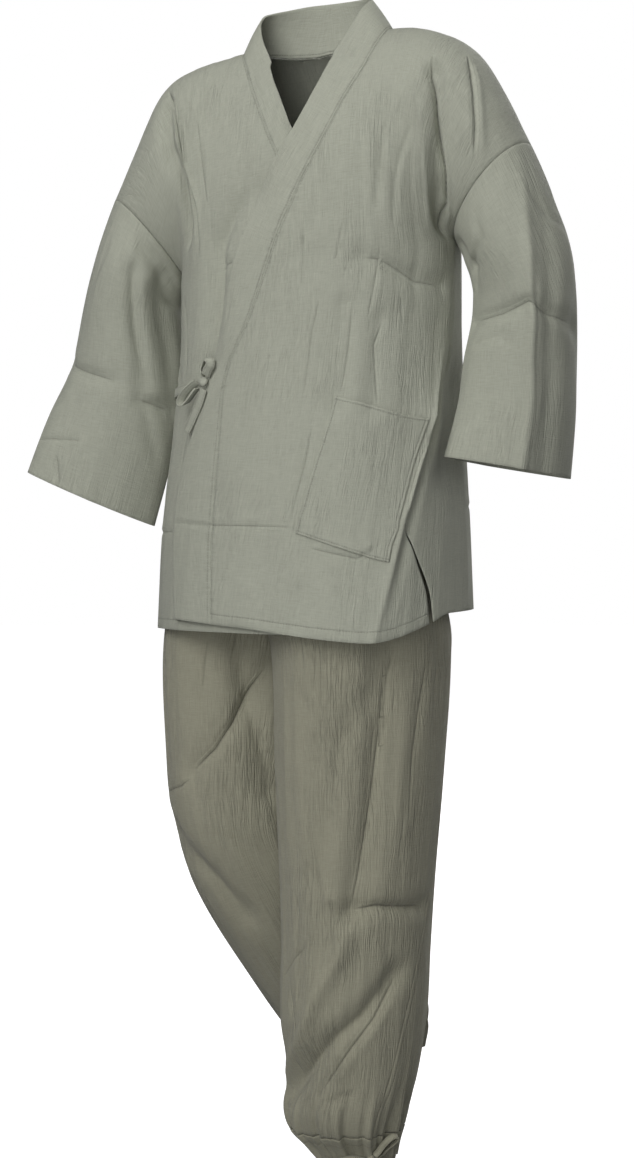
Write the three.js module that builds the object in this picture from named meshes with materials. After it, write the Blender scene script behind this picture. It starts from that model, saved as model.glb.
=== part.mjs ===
import * as THREE from 'three';

// Samue, worn: a wrapped jacket with a collar band over loose trousers. Millimetres, front towards -Y,
// wearer's left towards +X. The origin is the middle of the shoulder line, where the wearer carries it.

const CLOTH = 1.5;
const BAND = 2.8;
const SEAM_GAP = 0.3;
const SLEEVE_GAP = 0.9;
const CASING_GAP = 1.2;
const EDGE_TRIM = 0.06;
const WRAP_LIFT = 7;
const POCKET_LIFT = 0.4;
const CASING_WALL = 2.2;
const TIE_WIDTH = 11.5;
const TIE_THICK = 2.2;
const LACE_WIDTH = 8;
const LACE_THICK = 2;
const LACE_LIFT = 0.35;
const LACE_ANGLE = 80;
const LACE_KNOT_LEFT = [6, 5.5, 4];
const LACE_KNOT_RIGHT = [6.8, 6.7, 4];
const TIE_KNOT = [7.5, 7.5, 5];
const WAIST_TOP = -440;
const WAIST_HEIGHT = 32;
const LEGS_APART = 1.5;
const PANEL_COLUMNS = 18;
const SLEEVE_COLUMNS = 26;
const LEG_COLUMNS = 12;
const CASING_COLUMNS = 36;
const JACKET_COLOUR = '#a2a497';
const TROUSER_COLOUR = '#85846f';
const DEG = Math.PI / 180;

// Body of the jacket below the arms: height, middle x, middle y, half width, half depth, squareness, turn.
const TORSO = [
  [-760, -10, 22, 212, 172, 2.2, -20],
  [-620, -8, 19, 201, 162, 2.25, -14],
  [-500, -3, 16, 187, 154, 2.3, -8],
  [-380, 1, 14, 178, 146, 2.3, -3],
  [-270, 1, 12, 179, 138, 2.2, 0],
  [-240, 1, 12, 179, 136, 2.2, 0],
];

// Shoulder line from the middle of the neck to the armhole: share of the way, x, y, z.
const SHOULDER_LEFT = [
  [0, 0, 5, 6],
  [0.38, 97, 5, 13],
  [0.5, 130, 5, 13],
  [0.62, 163, 5, 5],
  [0.74, 194, 5, -9],
  [0.84, 219, 5, -32],
  [0.92, 246, 5, -76],
  [1, 276, 5, -134],
];
const SHOULDER_RIGHT = [
  [0, 0, 5, 6],
  [0.38, -97, 5, -13],
  [0.5, -128, 5, -22],
  [0.62, -162, 5, -34],
  [0.74, -192, 6, -53],
  [0.84, -216, 7, -84],
  [0.92, -243, 8, -140],
  [1, -274, 9, -203],
];

// Sleeves: step, middle x, y, z, half width, half depth, squareness, tilt, turn, lift.
// Step 0 is the armhole.
const SLEEVE_LEFT = [
  [0, 231.5, 5, -192, 73, 75, 2, 52.5, 0, 12],
  [1, 248, 8, -238, 67, 80, 1.9, 32, 6, 6],
  [2, 263, 12, -283, 65, 84, 1.75, 16, 15, 2],
  [3, 267, 14, -330, 65, 86, 1.6, 6, 24, 0],
  [4, 262, 12, -400, 72, 80, 1.55, 0, 28, 0],
  [5, 259.5, 6, -460, 77, 74, 1.5, -5, 33, 0],
  [6, 250, -2, -533, 86, 66, 1.45, -10, 37, 0],
];
const SLEEVE_RIGHT = [
  [0, -226, 10, -254, 70, 80, 2, 48, -10, 20],
  [1, -243, 10, -302, 62, 84, 2, 30, -6, 10],
  [2, -252, 12, -350, 65, 80, 2, 12, -3, 4],
  [3, -259, 5, -415, 74, 68, 1.9, 4, -8, 0],
  [4, -276, -8, -492, 84, 54, 1.8, 13, -14, 0],
  [5, -300, -20, -579, 89, 42, 1.7, 23, -18, 0],
];

// Trouser legs: height, middle x, middle y, half width, half depth, turn, pitch.
const LEG_LEFT = [
  [-1414, 56.8, -13.1, 46, 50, -40, 0],
  [-1395, 51.4, -15.9, 56, 60, -40, 0],
  [-1375, 46.3, -19.6, 68, 72, -40, 0],
  [-1345, 47.3, -22.5, 76, 80, -40, 0],
  [-1300, 55.5, -21.9, 78, 84, -40, 0],
  [-1225, 57.1, -23.5, 82, 98, -38, 0],
  [-1140, 60.2, -23.5, 84, 100, -37, 0],
  [-1060, 62.4, -23.9, 86, 104, -37, 0],
  [-905, 65.9, -24.8, 92, 115, -37, 0],
  [-755, 66.9, -24.5, 95, 124, -37, 0],
  [-690, 49, -22, 108, 130, -33, 0],
  [-620, 31, -5, 124, 126, -28, 0],
  [-540, 10, 9, 140, 116, -22, 0],
  [-470, -9, 16, 145, 106, -18, 0],
  [-440, -9, 16, 136, 98, -18, 0],
];
const LEG_RIGHT = [
  [-1330, 32.6, 210.4, 50, 52, -37, 33],
  [-1300, 21.1, 194, 70, 76, -37, 33],
  [-1250, -3.8, 167, 78, 94, -37, 33],
  [-1140, -49.1, 112.3, 82, 105, -37, 30],
  [-1050, -83.6, 63.2, 86, 108, -37, 20],
  [-985, -100.9, 38.7, 88, 108, -37, 8],
  [-905, -99, 45.7, 92, 124, -37, 0],
  [-755, -86.8, 60.1, 95, 146, -37, -6],
  [-690, -67, 53, 108, 134, -33, -3],
  [-620, -49, 38, 124, 126, -28, 0],
  [-540, -28, 24, 140, 116, -22, 0],
  [-470, -9, 16, 145, 106, -18, 0],
  [-440, -9, 16, 136, 98, -18, 0],
];
const HIP_MIDDLE = { x: -9.5, y: 17, turn: -37 };
const CROTCH = -755;

// Edges on the body of the jacket: row (1 shoulder, 0 armpit, -1 hem) and angle round the body.
const FRONT_SEAM_LEFT = [
  [-1, -7],
  [-0.88, -9.4],
  [-0.68, -12.8],
  [-0.46, -16.5],
  [-0.29, -17.6],
  [-0.15, -11],
  [0.02, -4.6],
  [0.18, 3],
  [0.34, 13.3],
  [0.46, 20.1],
  [0.62, 28],
  [0.82, 33],
  [1, 34.2],
];
const FRONT_SEAM_RIGHT = [
  [-1, 8],
  [-0.6, 15],
  [-0.3, 18],
  [-0.1, 12],
  [0.1, 5],
  [0.24, 0],
  [0.4, -10.6],
  [0.62, -23],
  [0.82, -31],
  [1, -34.2],
];
const BAND_EDGE_LEFT = [
  [-1, -26],
  [-0.85, -31],
  [-0.7, -35],
  [-0.57, -35],
  [-0.43, -30],
  [-0.33, -27.5],
  [-0.25, -27],
  [-0.15, -24.5],
  [0.02, -20],
  [0.22, -9.6],
  [0.38, 0.8],
  [0.53, 7.7],
  [0.69, 13.1],
];
const BAND_EDGE_RIGHT = [
  [-1, 28],
  [-0.6, 33],
  [-0.3, 35],
  [-0.1, 29],
  [0.1, 20],
  [0.25, 10],
  [0.38, 0.8],
  [0.47, -4],
  [0.6, -11.1],
  [0.69, -15],
];
const SIDE_SEAM_LEFT = [
  [-1, 59.3],
  [-0.7, 59.3],
  [-0.58, 62.7],
  [-0.45, 69.5],
  [-0.17, 81.2],
  [0, 90],
];
const SIDE_SEAM_RIGHT = [
  [-1, -80],
  [-0.7, -80],
  [-0.4, -86],
  [0, -90],
];
// How far the slit edges part below the slit top: row, front edge swing, back edge swing.
const SLIT_TOP = -0.7;
const SLIT_LEFT = [
  [-1, 18.5, 21],
  [-0.9, 15, 17],
  [-0.7, 0, 0],
];
const SLIT_RIGHT = [
  [-1, -3, 5],
  [-0.7, 0, 0],
];
// Hem level of each half: angle round the body, height.
const HEM_LEFT = [
  [-50, -722],
  [0, -728],
  [37, -741],
  [55, -743],
  [78, -723],
  [90, -712],
  [180, -722],
];
const HEM_RIGHT = [
  [-180, -722],
  [-120, -738],
  [-90, -750],
  [-50, -742],
  [0, -736],
  [40, -735],
];

// Folds of the jacket body: reach across, height out of the cloth, edge shape, path of angle and row.
const BODY_FOLDS = [
  { reach: 30, height: 5, sharp: true, path: [[81.2, -0.17], [69.5, -0.45]] },
  { reach: 34, height: 11, sharp: true, path: [[69.5, -0.45], [59.3, -0.7], [52.4, -1]] },
  { reach: 17, height: -13, path: [[63, 0.62], [75, 0.42], [80, 0.26], [78, 0.08]] },
  { reach: 13, height: -5, path: [[28, -0.02], [48, -0.07], [74, -0.12]] },
  { reach: 26, height: -9, path: [[-14, 0.2], [-24, 0.15], [-31, 0.08], [-30, -0.13], [-29, -0.26]] },
  { reach: 17, height: -12, path: [[-70, 0.66], [-72, 0.48], [-64, 0.33], [-58, 0.16]] },
  { reach: 16, height: -4, path: [[24, -0.14], [24, -0.4]] },
  { reach: 15, height: -4, path: [[38, -0.19], [39, -0.41]] },
  { reach: 20, height: -12, path: [[116, 0.6], [103, 0.35], [101, 0.08]] },
  { reach: 20, height: -11, path: [[-118, 0.58], [-104, 0.35], [-103, 0.1]] },
  { reach: 24, height: -7, path: [[142, 0.3], [136, -0.15], [146, -0.62]] },
  { reach: 22, height: -6, path: [[-146, 0.24], [-138, -0.3], [-150, -0.8]] },
  { reach: 24, height: -5, path: [[158, -0.1], [154, -0.8]] },
  { reach: 30, height: 9, path: [[-100, -0.78], [-104, -0.9]] },
  { reach: 34, height: -9, path: [[88, -0.4], [86, -0.6]] },
];
const ANGLE_MM = 3.3;
const ROW_MM_BELOW = 470;
const ROW_MM_ABOVE = 320;

// Folds of the sleeves: path of angle round the sleeve and step down it.
const SLEEVE_FOLDS_LEFT = [
  { reach: 11, height: -5, path: [[10, 3.3], [46, 3.14], [80, 2.95], [111, 3.2], [151, 3.43]] },
  { reach: 13, height: -6, path: [[20, 0.4], [24, 1.6]] },
  { reach: 13, height: -6, path: [[300, 0.5], [320, 1.8]] },
  { reach: 14, height: -5, path: [[225, 2.9], [330, 3.3]] },
];
const SLEEVE_FOLDS_RIGHT = [
  { reach: 13, height: -6, path: [[78, 0.3], [46, 0.5], [20, 1]] },
  { reach: 14, height: -5, path: [[78, 0.9], [69, 1.7], [60, 3.1]] },
  { reach: 9, height: -3, path: [[168, 2.9], [91, 3.15]] },
  { reach: 9, height: -4, path: [[61, 3.44], [20, 3.54]] },
  { reach: 14, height: -6, path: [[300, 0.5], [320, 1.8]] },
  { reach: 12, height: -4, path: [[225, 3], [330, 3.3]] },
];
const SLEEVE_ANGLE_MM = 1.22;
const SLEEVE_STEP_MM = 62;

// Folds of the legs: path of angle round the leg (0 front, 90 outer side) and height.
const LEG_FOLDS_LEFT = [
  { reach: 20, height: -10, path: [[77, -760], [75, -840], [69, -938], [60, -1037], [54, -1085]] },
  { reach: 12, height: -6, path: [[56, -1081], [74, -1076], [117, -1083]] },
  { reach: 18, height: -5, path: [[62, -815], [47, -875], [38, -963], [29, -1038]] },
  { reach: 15, height: 5, path: [[56, -1095], [46, -1134], [30, -1187], [12, -1248], [-20, -1300]] },
  { reach: 16, height: -9, path: [[92, -1165], [67, -1216], [46, -1244], [15, -1291], [-9, -1321]] },
  { reach: 20, height: -8, path: [[170, -780], [178, -900], [168, -1010]] },
  { reach: 18, height: -8, path: [[230, -1100], [200, -1180], [186, -1290]] },
  { reach: 18, height: -6, path: [[240, -850], [232, -1000]] },
];
const LEG_FOLDS_RIGHT = [
  { reach: 12, height: -6, path: [[-69, -792], [-49, -863], [-18, -920]] },
  { reach: 18, height: -9, path: [[-49, -757], [-58, -832], [-76, -941]] },
  { reach: 18, height: -8, path: [[20, -990], [-19, -1034], [-30, -1071]] },
  { reach: 20, height: -7, path: [[60, -820], [52, -960]] },
  { reach: 20, height: -8, path: [[170, -780], [182, -880], [176, -960]] },
  { reach: 18, height: -8, path: [[150, -1040], [190, -1100], [225, -1180]] },
  { reach: 18, height: -6, path: [[80, -1080], [100, -1200], [90, -1280]] },
];
const LEG_ANGLE_MM = 1.75;

// Seams of the legs: height, angle of the side seam; and height, angle of the inner edge.
const SIDE_LEFT = [
  [-1414, 82],
  [-1337, 89],
  [-1249, 100],
  [-1129, 117],
  [-1052, 130],
  [-941, 140],
  [-755, 138],
  [-600, 112],
  [-440, 95],
];
const SIDE_RIGHT = [
  [-1330, 96],
  [-1000, 104],
  [-600, 100],
  [-440, 95],
];
const INNER = [
  [-1500, -90],
  [-768, -90],
  [-745, -72],
  [-715, -52],
  [-690, -39],
  [-620, -20.5],
  [-540, -8],
  [-470, 0.7],
  [-440, 0.7],
];
const CASING_LEFT = { top: -1375, foot: -1414 };
const CASING_RIGHT = { top: -1298, foot: -1330 };
const ANKLE_PLEATS = 9;
const PLEAT_DEPTH = 3.2;
const PLEAT_FADE = 70;

// Rows along one half of the body: -1 front hem, 1 shoulder, 3 back hem.
const BODY_ROWS = [
  -1, -0.92, -0.84, -0.76, -0.7, -0.61, -0.52, -0.42, -0.32, -0.22, -0.12, 0, 0.1, 0.21, 0.32, 0.43, 0.54,
  0.65, 0.77, 0.89, 1, 1.08, 1.15, 1.2, 1.23, 1.33, 1.45, 1.57, 1.7, 1.85, 2, 2.15, 2.3, 2.45, 2.58, 2.7,
  2.8, 2.9, 3,
];

// Two column lines kept on the pocket sides: length, share of the width at the first and at the second.
const FIRST_GUIDE = 7;
const SECOND_GUIDE = 16;
const GUIDES = [
  [-1, 0.283, 0.7],
  [-0.84, 0.33, 0.81],
  [-0.76, 0.375, 0.89],
  [-0.7, 0.42, 0.97],
  [-0.52, 0.443, 0.97],
  [-0.32, 0.45, 0.965],
  [0.1, 0.42, 0.92],
  [0.32, 0.39, 0.89],
  [3, 0.39, 0.89],
];

// Neckline behind the shoulder line: its angle from the middle back and its drop.
const NECK_ANGLE = 34.2;
const NECK_DROP = 0.23;

// Patch pocket: rows of its top and foot at its inner side, and how far they drop across it.
const POCKET_TOP = { row: -0.375, drop: 0.079 };
const POCKET_FOOT = { row: -0.734, drop: 0.066 };
const POCKET_INSIDE_ROWS = [-0.76, -0.7, -0.61, -0.52, -0.42];

// Collar band: how far it stands proud, its columns and the rows of the body it lies on.
const BAND_PROUD = 0.9;
const BAND_COLUMNS = 3;
const BAND_LOW_ROWS = BODY_ROWS.filter((row) => row < 0.6);
// Lengths of the neck seam, shared with the rows of the body, from the left front to the nape.
const NECK_LENGTHS = [0.65, 0.77, 0.89, 1, 1.08, 1.15, 1.2, 1.23];
const NECK_STEPS = 2 * (NECK_LENGTHS.length - 1);
// Standing edge of the band at the same steps, left front to nape to right front: step, x, y, z.
const NECK_EDGE = [
  [0, 47, -71, -7],
  [1, 56, -42, 19],
  [2, 62, -14, 39],
  [3, 65, 14, 50],
  [4, 61, 32, 54],
  [5, 47, 47, 55],
  [6, 28, 58, 54],
  [7, 0, 64, 52],
  [8, -30, 58, 49],
  [9, -52, 46, 44],
  [10, -68, 30, 39],
  [11, -74, 10, 33],
  [12, -71, -18, 17],
  [13, -60, -48, -10],
  [14, -43, -74, -38],
];

// Rows up a leg panel as shares of its height.
const LEG_SHARES = [
  0, 0.03, 0.065, 0.105, 0.15, 0.2, 0.25, 0.3, 0.345, 0.39, 0.43, 0.47, 0.515, 0.56, 0.605, 0.65, 0.68, 0.7,
  0.73, 0.78, 0.85, 0.93, 1,
];

// Waistband on its elastic.
const WAIST_PLEATS = 10;
const WAIST_COLUMNS = 40;
const WAIST_PLEAT_DEPTH = 1.6;
const WAIST_WALL = 2.6;

// Bow at the right front: where its knot sits on the body.
const WAIST_KNOT = { angle: -27.8, row: -0.318, out: 1.3 };

const KNOT_SEGMENTS = 14;

const clamp01 = (t) => Math.min(1, Math.max(0, t));

function ease(from, to, t) {
  const s = clamp01((t - from) / (to - from));
  return s * s * (3 - 2 * s);
}

// A row between the rows of a table, with a smooth curve through them. The first column is the key.
function rowAt(table, key) {
  const last = table.length - 1;
  if (key <= table[0][0]) return table[0].slice(1);
  if (key >= table[last][0]) return table[last].slice(1);
  let i = 0;
  while (table[i + 1][0] <= key) i += 1;
  const a = table[i];
  const b = table[i + 1];
  const before = table[i - 1];
  const after = table[i + 2];
  const step = b[0] - a[0];
  const s = (key - a[0]) / step;
  return a.slice(1).map((value, k) => {
    const c = k + 1;
    const straight = (b[c] - a[c]) / step;
    const slopeA = before ? (b[c] - before[c]) / (b[0] - before[0]) : straight;
    const slopeB = after ? (after[c] - a[c]) / (after[0] - a[0]) : straight;
    return value * (1 - s) ** 2 * (1 + 2 * s) + b[c] * s * s * (3 - 2 * s)
      + step * slopeA * s * (1 - s) ** 2 - step * slopeB * s * s * (1 - s);
  });
}

const span = (from, to, share) => from + (to - from) * share;

const signedPower = (v, squareness) => Math.sign(v) * Math.abs(v) ** (2 / squareness);

// Height of all folds at a point of the flat cloth. Each path is measured in the same flat millimetres.
function foldHeight(folds, toFlat, a, b) {
  const [p, q] = toFlat(a, b);
  let total = 0;
  folds.forEach((fold) => {
    let nearest = Infinity;
    for (let i = 0; i + 1 < fold.path.length; i += 1) {
      const [x0, y0] = toFlat(...fold.path[i]);
      const [x1, y1] = toFlat(...fold.path[i + 1]);
      const length2 = (x1 - x0) ** 2 + (y1 - y0) ** 2;
      const s = clamp01(((p - x0) * (x1 - x0) + (q - y0) * (y1 - y0)) / length2);
      nearest = Math.min(nearest, Math.hypot(p - x0 - s * (x1 - x0), q - y0 - s * (y1 - y0)));
    }
    const away = nearest / fold.reach;
    total += fold.height * (fold.sharp ? Math.exp(-away) : Math.exp(-away * away));
  });
  return total;
}

const add = (p, v, scale) => [p[0] + v[0] * scale, p[1] + v[1] * scale, p[2] + v[2] * scale];
const minus = (p, q) => [p[0] - q[0], p[1] - q[1], p[2] - q[2]];
const mix = (p, q, t) => [p[0] + (q[0] - p[0]) * t, p[1] + (q[1] - p[1]) * t, p[2] + (q[2] - p[2]) * t];

function unit(v) {
  const length = Math.hypot(...v);
  return [v[0] / length, v[1] / length, v[2] / length];
}

const cross = (u, v) => [u[1] * v[2] - u[2] * v[1], u[2] * v[0] - u[0] * v[2], u[0] * v[1] - u[1] * v[0]];

// Direction square to a surface, from small steps either way; hand is 1 or -1 so that it points outward.
function facing(surface, a, b, stepA, stepB, hand) {
  const along = minus(surface(a + stepA, b), surface(a - stepA, b));
  const up = minus(surface(a, b + stepB), surface(a, b - stepB));
  return unit(cross(along, up).map((v) => v * hand));
}

const armpitLevel = (angle) => -277.5 + 27.5 * Math.sin(angle * DEG);

function bodyRing(angle, height) {
  const [x, y, width, depth, squareness, turn] = rowAt(TORSO, height);
  const t = turn * DEG;
  const a = width * signedPower(Math.sin(angle * DEG), squareness);
  const b = depth * signedPower(Math.cos(angle * DEG), squareness);
  return [x + a * Math.cos(t) + b * Math.sin(t), y + a * Math.sin(t) - b * Math.cos(t), height];
}

const shoulderRow = (side, across) => rowAt(side > 0 ? SHOULDER_LEFT : SHOULDER_RIGHT, across);
const sleeveTable = (side) => (side > 0 ? SLEEVE_LEFT : SLEEVE_RIGHT);

function tableRing(side, step, angle) {
  const [x, y, z, width, depth, squareness, tilt, turn, lift] = rowAt(sleeveTable(side), step);
  const [b, t, l] = [tilt * DEG, turn * DEG, lift * DEG];
  const outward = [side * Math.cos(b) * Math.cos(t), Math.cos(b) * Math.sin(t), Math.sin(b)];
  const forward = [side * Math.sin(t) * Math.cos(l), -Math.cos(t) * Math.cos(l), Math.sin(l)];
  const p = -width * signedPower(Math.cos(angle * DEG), squareness);
  const q = depth * signedPower(Math.sin(angle * DEG), squareness);
  return add(add([x, y, z], outward, p), forward, q);
}

// Armhole loop between the armpit and the end of the shoulder line. Angle 0 is the armpit, 90 the front.
function armhole(side, angle) {
  const low = bodyRing(90 * side, armpitLevel(90 * side));
  const high = shoulderRow(side, 1);
  const [, , , , depth, , , turn, lift] = sleeveTable(side)[0].slice(1);
  const [t, l] = [turn * DEG, lift * DEG];
  const forward = [side * Math.sin(t) * Math.cos(l), -Math.cos(t) * Math.cos(l), Math.sin(l)];
  const onChord = mix(low, high, (1 - Math.cos(angle * DEG)) / 2);
  return add(onChord, forward, depth * Math.sin(angle * DEG));
}

// Direction square to the armhole loop, down the sleeve.
function downSleeve(side) {
  const chord = minus(armhole(side, 180), armhole(side, 0));
  const front = minus(armhole(side, 90), armhole(side, 270));
  return unit(cross(front, chord).map((v) => -side * v));
}

function sleevePlain(side, step, angle) {
  const join = 1 - ease(0, 1, step);
  return add(tableRing(side, step, angle), minus(armhole(side, angle), tableRing(side, 0, angle)), join);
}

const sleeveFlat = (angle, step) => [angle * SLEEVE_ANGLE_MM, step * SLEEVE_STEP_MM];

function sleevePoint(side, step, angle) {
  const folds = side > 0 ? SLEEVE_FOLDS_LEFT : SLEEVE_FOLDS_RIGHT;
  const plain = (a, b) => sleevePlain(side, b, a);
  const cuff = sleeveTable(side).at(-1)[0];
  const normal = facing(plain, angle, Math.min(cuff - 0.05, Math.max(0.05, step)), 3, 0.05, -side);
  const fade = ease(0, 0.6, step);
  const height = fade * foldHeight(folds, sleeveFlat, (angle + 360) % 360, step);
  const gap = SLEEVE_GAP * (1 - ease(0, 1, step));
  return add(add(plain(angle, step), normal, height), downSleeve(side), gap);
}

// Plain form of the jacket body. Row 1 is the shoulder line, 0 the armpit and -1 the hem.
function torso(angle, row, hem) {
  const level = armpitLevel(angle);
  if (row <= 0) return bodyRing(angle, level - row * (hem - level));
  const side = Math.sin(angle * DEG) >= 0 ? 1 : -1;
  const turn = Math.abs(Math.atan2(Math.sin(angle * DEG), Math.cos(angle * DEG))) / DEG;
  const across = 1 - Math.abs(turn - 90) / 90;
  const rise = Math.sin((row * Math.PI) / 2);
  const swell = Math.cos((row * Math.PI) / 2);
  const roll = (low, high) => [
    low[0] + (high[0] - low[0]) * rise,
    high[1] + (low[1] - high[1]) * swell,
    low[2] + (high[2] - low[2]) * rise,
  ];
  const body = roll(bodyRing(angle, level), shoulderRow(side, across));
  const edge = roll(bodyRing(90 * side, armpitLevel(90 * side)), shoulderRow(side, 1));
  const arm = armhole(side, turn <= 90 ? 180 * row : -180 * row);
  return add(body, minus(arm, edge), ease(0.3, 1, across));
}

const bodyFlat = (angle, row) => [angle * ANGLE_MM, row * (row < 0 ? ROW_MM_BELOW : ROW_MM_ABOVE)];

// Height of the left front above the right front where the two lie on each other.
const wrapLift = (angle, row) => WRAP_LIFT * (1 - ease(30, 58, angle)) * (1 - ease(0.3, 0.62, row));

// A point of the jacket body with its folds. 'over' lifts the left front clear of the right one.
function bodyPoint(half, angle, row, over) {
  const side = Math.sin(angle * DEG) >= 0 ? 1 : -1;
  const hem = rowAt(half > 0 ? HEM_LEFT : HEM_RIGHT, angle)[0];
  const plain = (a, b) => torso(a, b, hem);
  const nearArm = row > 0 && Math.abs(Math.abs(angle) - 90) < 0.5;
  const inset = Math.abs(angle) > 90 ? 0.5 : -0.5;
  const safe = nearArm ? side * (90 + inset) : angle;
  const normal = facing(plain, safe, Math.min(row, 0.985), 0.4, 0.01, 1);
  const lift = over ? wrapLift(angle, row) : 0;
  return add(plain(angle, row), normal, lift + foldHeight(BODY_FOLDS, bodyFlat, angle, row));
}

// One half of the jacket body as a length of cloth: 'length' runs -1 front hem, 1 shoulder, 3 back hem,
// and 'out' is the angle from the middle towards the side.
function bodyHalf(side, out, length) {
  const back = length > 1;
  const row = back ? 2 - length : length;
  const round = row > 0 ? Math.min(out, back ? 90 - 1e-4 : 90) : out;
  return bodyPoint(side, side * (back ? 180 - round : round), row, side > 0 && !back);
}

// Inner edge of one half of the body, as an angle from the middle: collar seam, then neckline, then back.

function innerEdge(side, length) {
  const table = side > 0 ? FRONT_SEAM_LEFT : FRONT_SEAM_RIGHT;
  if (length <= 1) return side * rowAt(table, length)[0] + EDGE_TRIM;
  if (length >= 1 + NECK_DROP) return EDGE_TRIM;
  return EDGE_TRIM + NECK_ANGLE * Math.sqrt(1 - ((length - 1) / NECK_DROP) ** 2);
}

// Outer edge of one half of the body: side seam, armhole, armhole, side seam.
function outerEdge(side, length) {
  const back = length > 1;
  const row = back ? 2 - length : length;
  if (row >= 0) return 90;
  const seam = Math.abs(rowAt(side > 0 ? SIDE_SEAM_LEFT : SIDE_SEAM_RIGHT, row)[0]);
  const [front, rear] = row < SLIT_TOP ? rowAt(side > 0 ? SLIT_LEFT : SLIT_RIGHT, row) : [0, 0];
  return back ? 180 - seam - Math.abs(rear) - EDGE_TRIM : seam + front - EDGE_TRIM;
}

const legTable = (side) => (side > 0 ? LEG_LEFT : LEG_RIGHT);
const casingOf = (side) => (side > 0 ? CASING_LEFT : CASING_RIGHT);

// How far a point stands on its own side of the plane between the legs, and that sideways direction.
function fromMiddle(side, point, turn) {
  const sideways = [side * Math.cos(turn * DEG), side * Math.sin(turn * DEG), 0];
  const { x, y } = HIP_MIDDLE;
  return [(point[0] - x) * sideways[0] + (point[1] - y) * sideways[1], sideways];
}

// Leg of the trousers: angle 0 front, 90 outer side, -90 inner side. The inner thighs lie flat together.
function legPlain(side, angle, height) {
  const [x, y, width, depth, turn, pitch] = rowAt(legTable(side), height);
  const [t, g] = [turn * DEG, pitch * DEG];
  const { top } = casingOf(side);
  const fade = 1 - ease(top, top + PLEAT_FADE, height);
  const wave = PLEAT_DEPTH * Math.cos(angle * DEG * ANKLE_PLEATS) * fade;
  const a = side * (width + wave) * Math.sin(angle * DEG);
  const b = (depth + wave) * Math.cos(angle * DEG);
  const point = [
    x + a * Math.cos(t) + b * Math.cos(g) * Math.sin(t),
    y + a * Math.sin(t) - b * Math.cos(g) * Math.cos(t),
    height - b * Math.sin(g),
  ];
  const planeTurn = height > CROTCH ? turn : HIP_MIDDLE.turn;
  const [distance, sideways] = fromMiddle(side, point, planeTurn);
  const apart = span(LEGS_APART, SEAM_GAP, ease(CROTCH - 40, CROTCH + 10, height));
  return distance < apart ? add(point, sideways, apart - distance) : point;
}

const legFlat = (angle, height) => [angle * LEG_ANGLE_MM, height];

function legPoint(side, angle, height) {
  const folds = side > 0 ? LEG_FOLDS_LEFT : LEG_FOLDS_RIGHT;
  const plain = (a, b) => legPlain(side, a, b);
  const normal = facing(plain, angle, height, 2, 4, side);
  return add(plain(angle, height), normal, foldHeight(folds, legFlat, angle, height));
}

// A closed solid between two faces of a grid. corner(row, column) gives a point of each face.
// A ring joins its last column to its first.
function gridSolid(name, colour, rows, columns, corner, ring = false) {
  const width = ring ? columns : columns + 1;
  const positions = [];
  for (let r = 0; r <= rows; r += 1) {
    for (let c = 0; c < width; c += 1) {
      const [outer, inner] = corner(r, c);
      positions.push(...outer, ...inner);
    }
  }
  const at = (r, c, face) => 2 * (r * width + (c % width)) + face;
  const pointOf = (i) => positions.slice(3 * i, 3 * i + 3);
  const faces = [];
  const quad = (a, b, c, d) => faces.push([a, b, c], [a, c, d]);
  for (let r = 0; r < rows; r += 1) {
    for (let c = 0; c < columns; c += 1) {
      quad(at(r, c, 0), at(r, c + 1, 0), at(r + 1, c + 1, 0), at(r + 1, c, 0));
      quad(at(r, c, 1), at(r + 1, c, 1), at(r + 1, c + 1, 1), at(r, c + 1, 1));
    }
  }
  for (let c = 0; c < columns; c += 1) {
    quad(at(0, c, 1), at(0, c + 1, 1), at(0, c + 1, 0), at(0, c, 0));
    quad(at(rows, c, 0), at(rows, c + 1, 0), at(rows, c + 1, 1), at(rows, c, 1));
  }
  if (!ring) {
    for (let r = 0; r < rows; r += 1) {
      quad(at(r, 0, 0), at(r + 1, 0, 0), at(r + 1, 0, 1), at(r, 0, 1));
      quad(at(r, columns, 0), at(r, columns, 1), at(r + 1, columns, 1), at(r + 1, columns, 0));
    }
  }
  const [r, c] = [Math.floor(rows / 2), Math.floor(columns / 2)];
  const origin = pointOf(at(r, c, 0));
  const along = minus(pointOf(at(r, c + 1, 0)), origin);
  const up = minus(pointOf(at(r + 1, c, 0)), origin);
  const out = minus(origin, pointOf(at(r, c, 1)));
  const normal = cross(along, up);
  const outward = normal[0] * out[0] + normal[1] * out[1] + normal[2] * out[2] > 0;
  const geometry = new THREE.BufferGeometry();
  geometry.setAttribute('position', new THREE.Float32BufferAttribute(positions, 3));
  geometry.setIndex(faces.flatMap((f) => (outward ? f : [f[0], f[2], f[1]])));
  geometry.computeVertexNormals();
  const material = new THREE.MeshStandardMaterial({ color: colour, roughness: 0.95, metalness: 0 });
  const mesh = new THREE.Mesh(geometry, material);
  mesh.name = name;
  return mesh;
}

function columnShare(length, column) {
  const [first, second] = rowAt(GUIDES, length);
  if (column <= FIRST_GUIDE) return (first * column) / FIRST_GUIDE;
  if (column >= SECOND_GUIDE) {
    return span(second, 1, (column - SECOND_GUIDE) / (PANEL_COLUMNS - SECOND_GUIDE));
  }
  return span(first, second, (column - FIRST_GUIDE) / (SECOND_GUIDE - FIRST_GUIDE));
}

function bodyPanel(side) {
  const skin = (out, length) => bodyHalf(side, out, length);
  return (r, c) => {
    const length = BODY_ROWS[r];
    const out = span(innerEdge(side, length), outerEdge(side, length), columnShare(length, c));
    const point = skin(out, length);
    return [point, add(point, facing(skin, out, length, 0.8, 0.012, side), -CLOTH)];
  };
}

function jacketBody(side, name) {
  return gridSolid(name, JACKET_COLOUR, BODY_ROWS.length - 1, PANEL_COLUMNS, bodyPanel(side));
}

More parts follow.
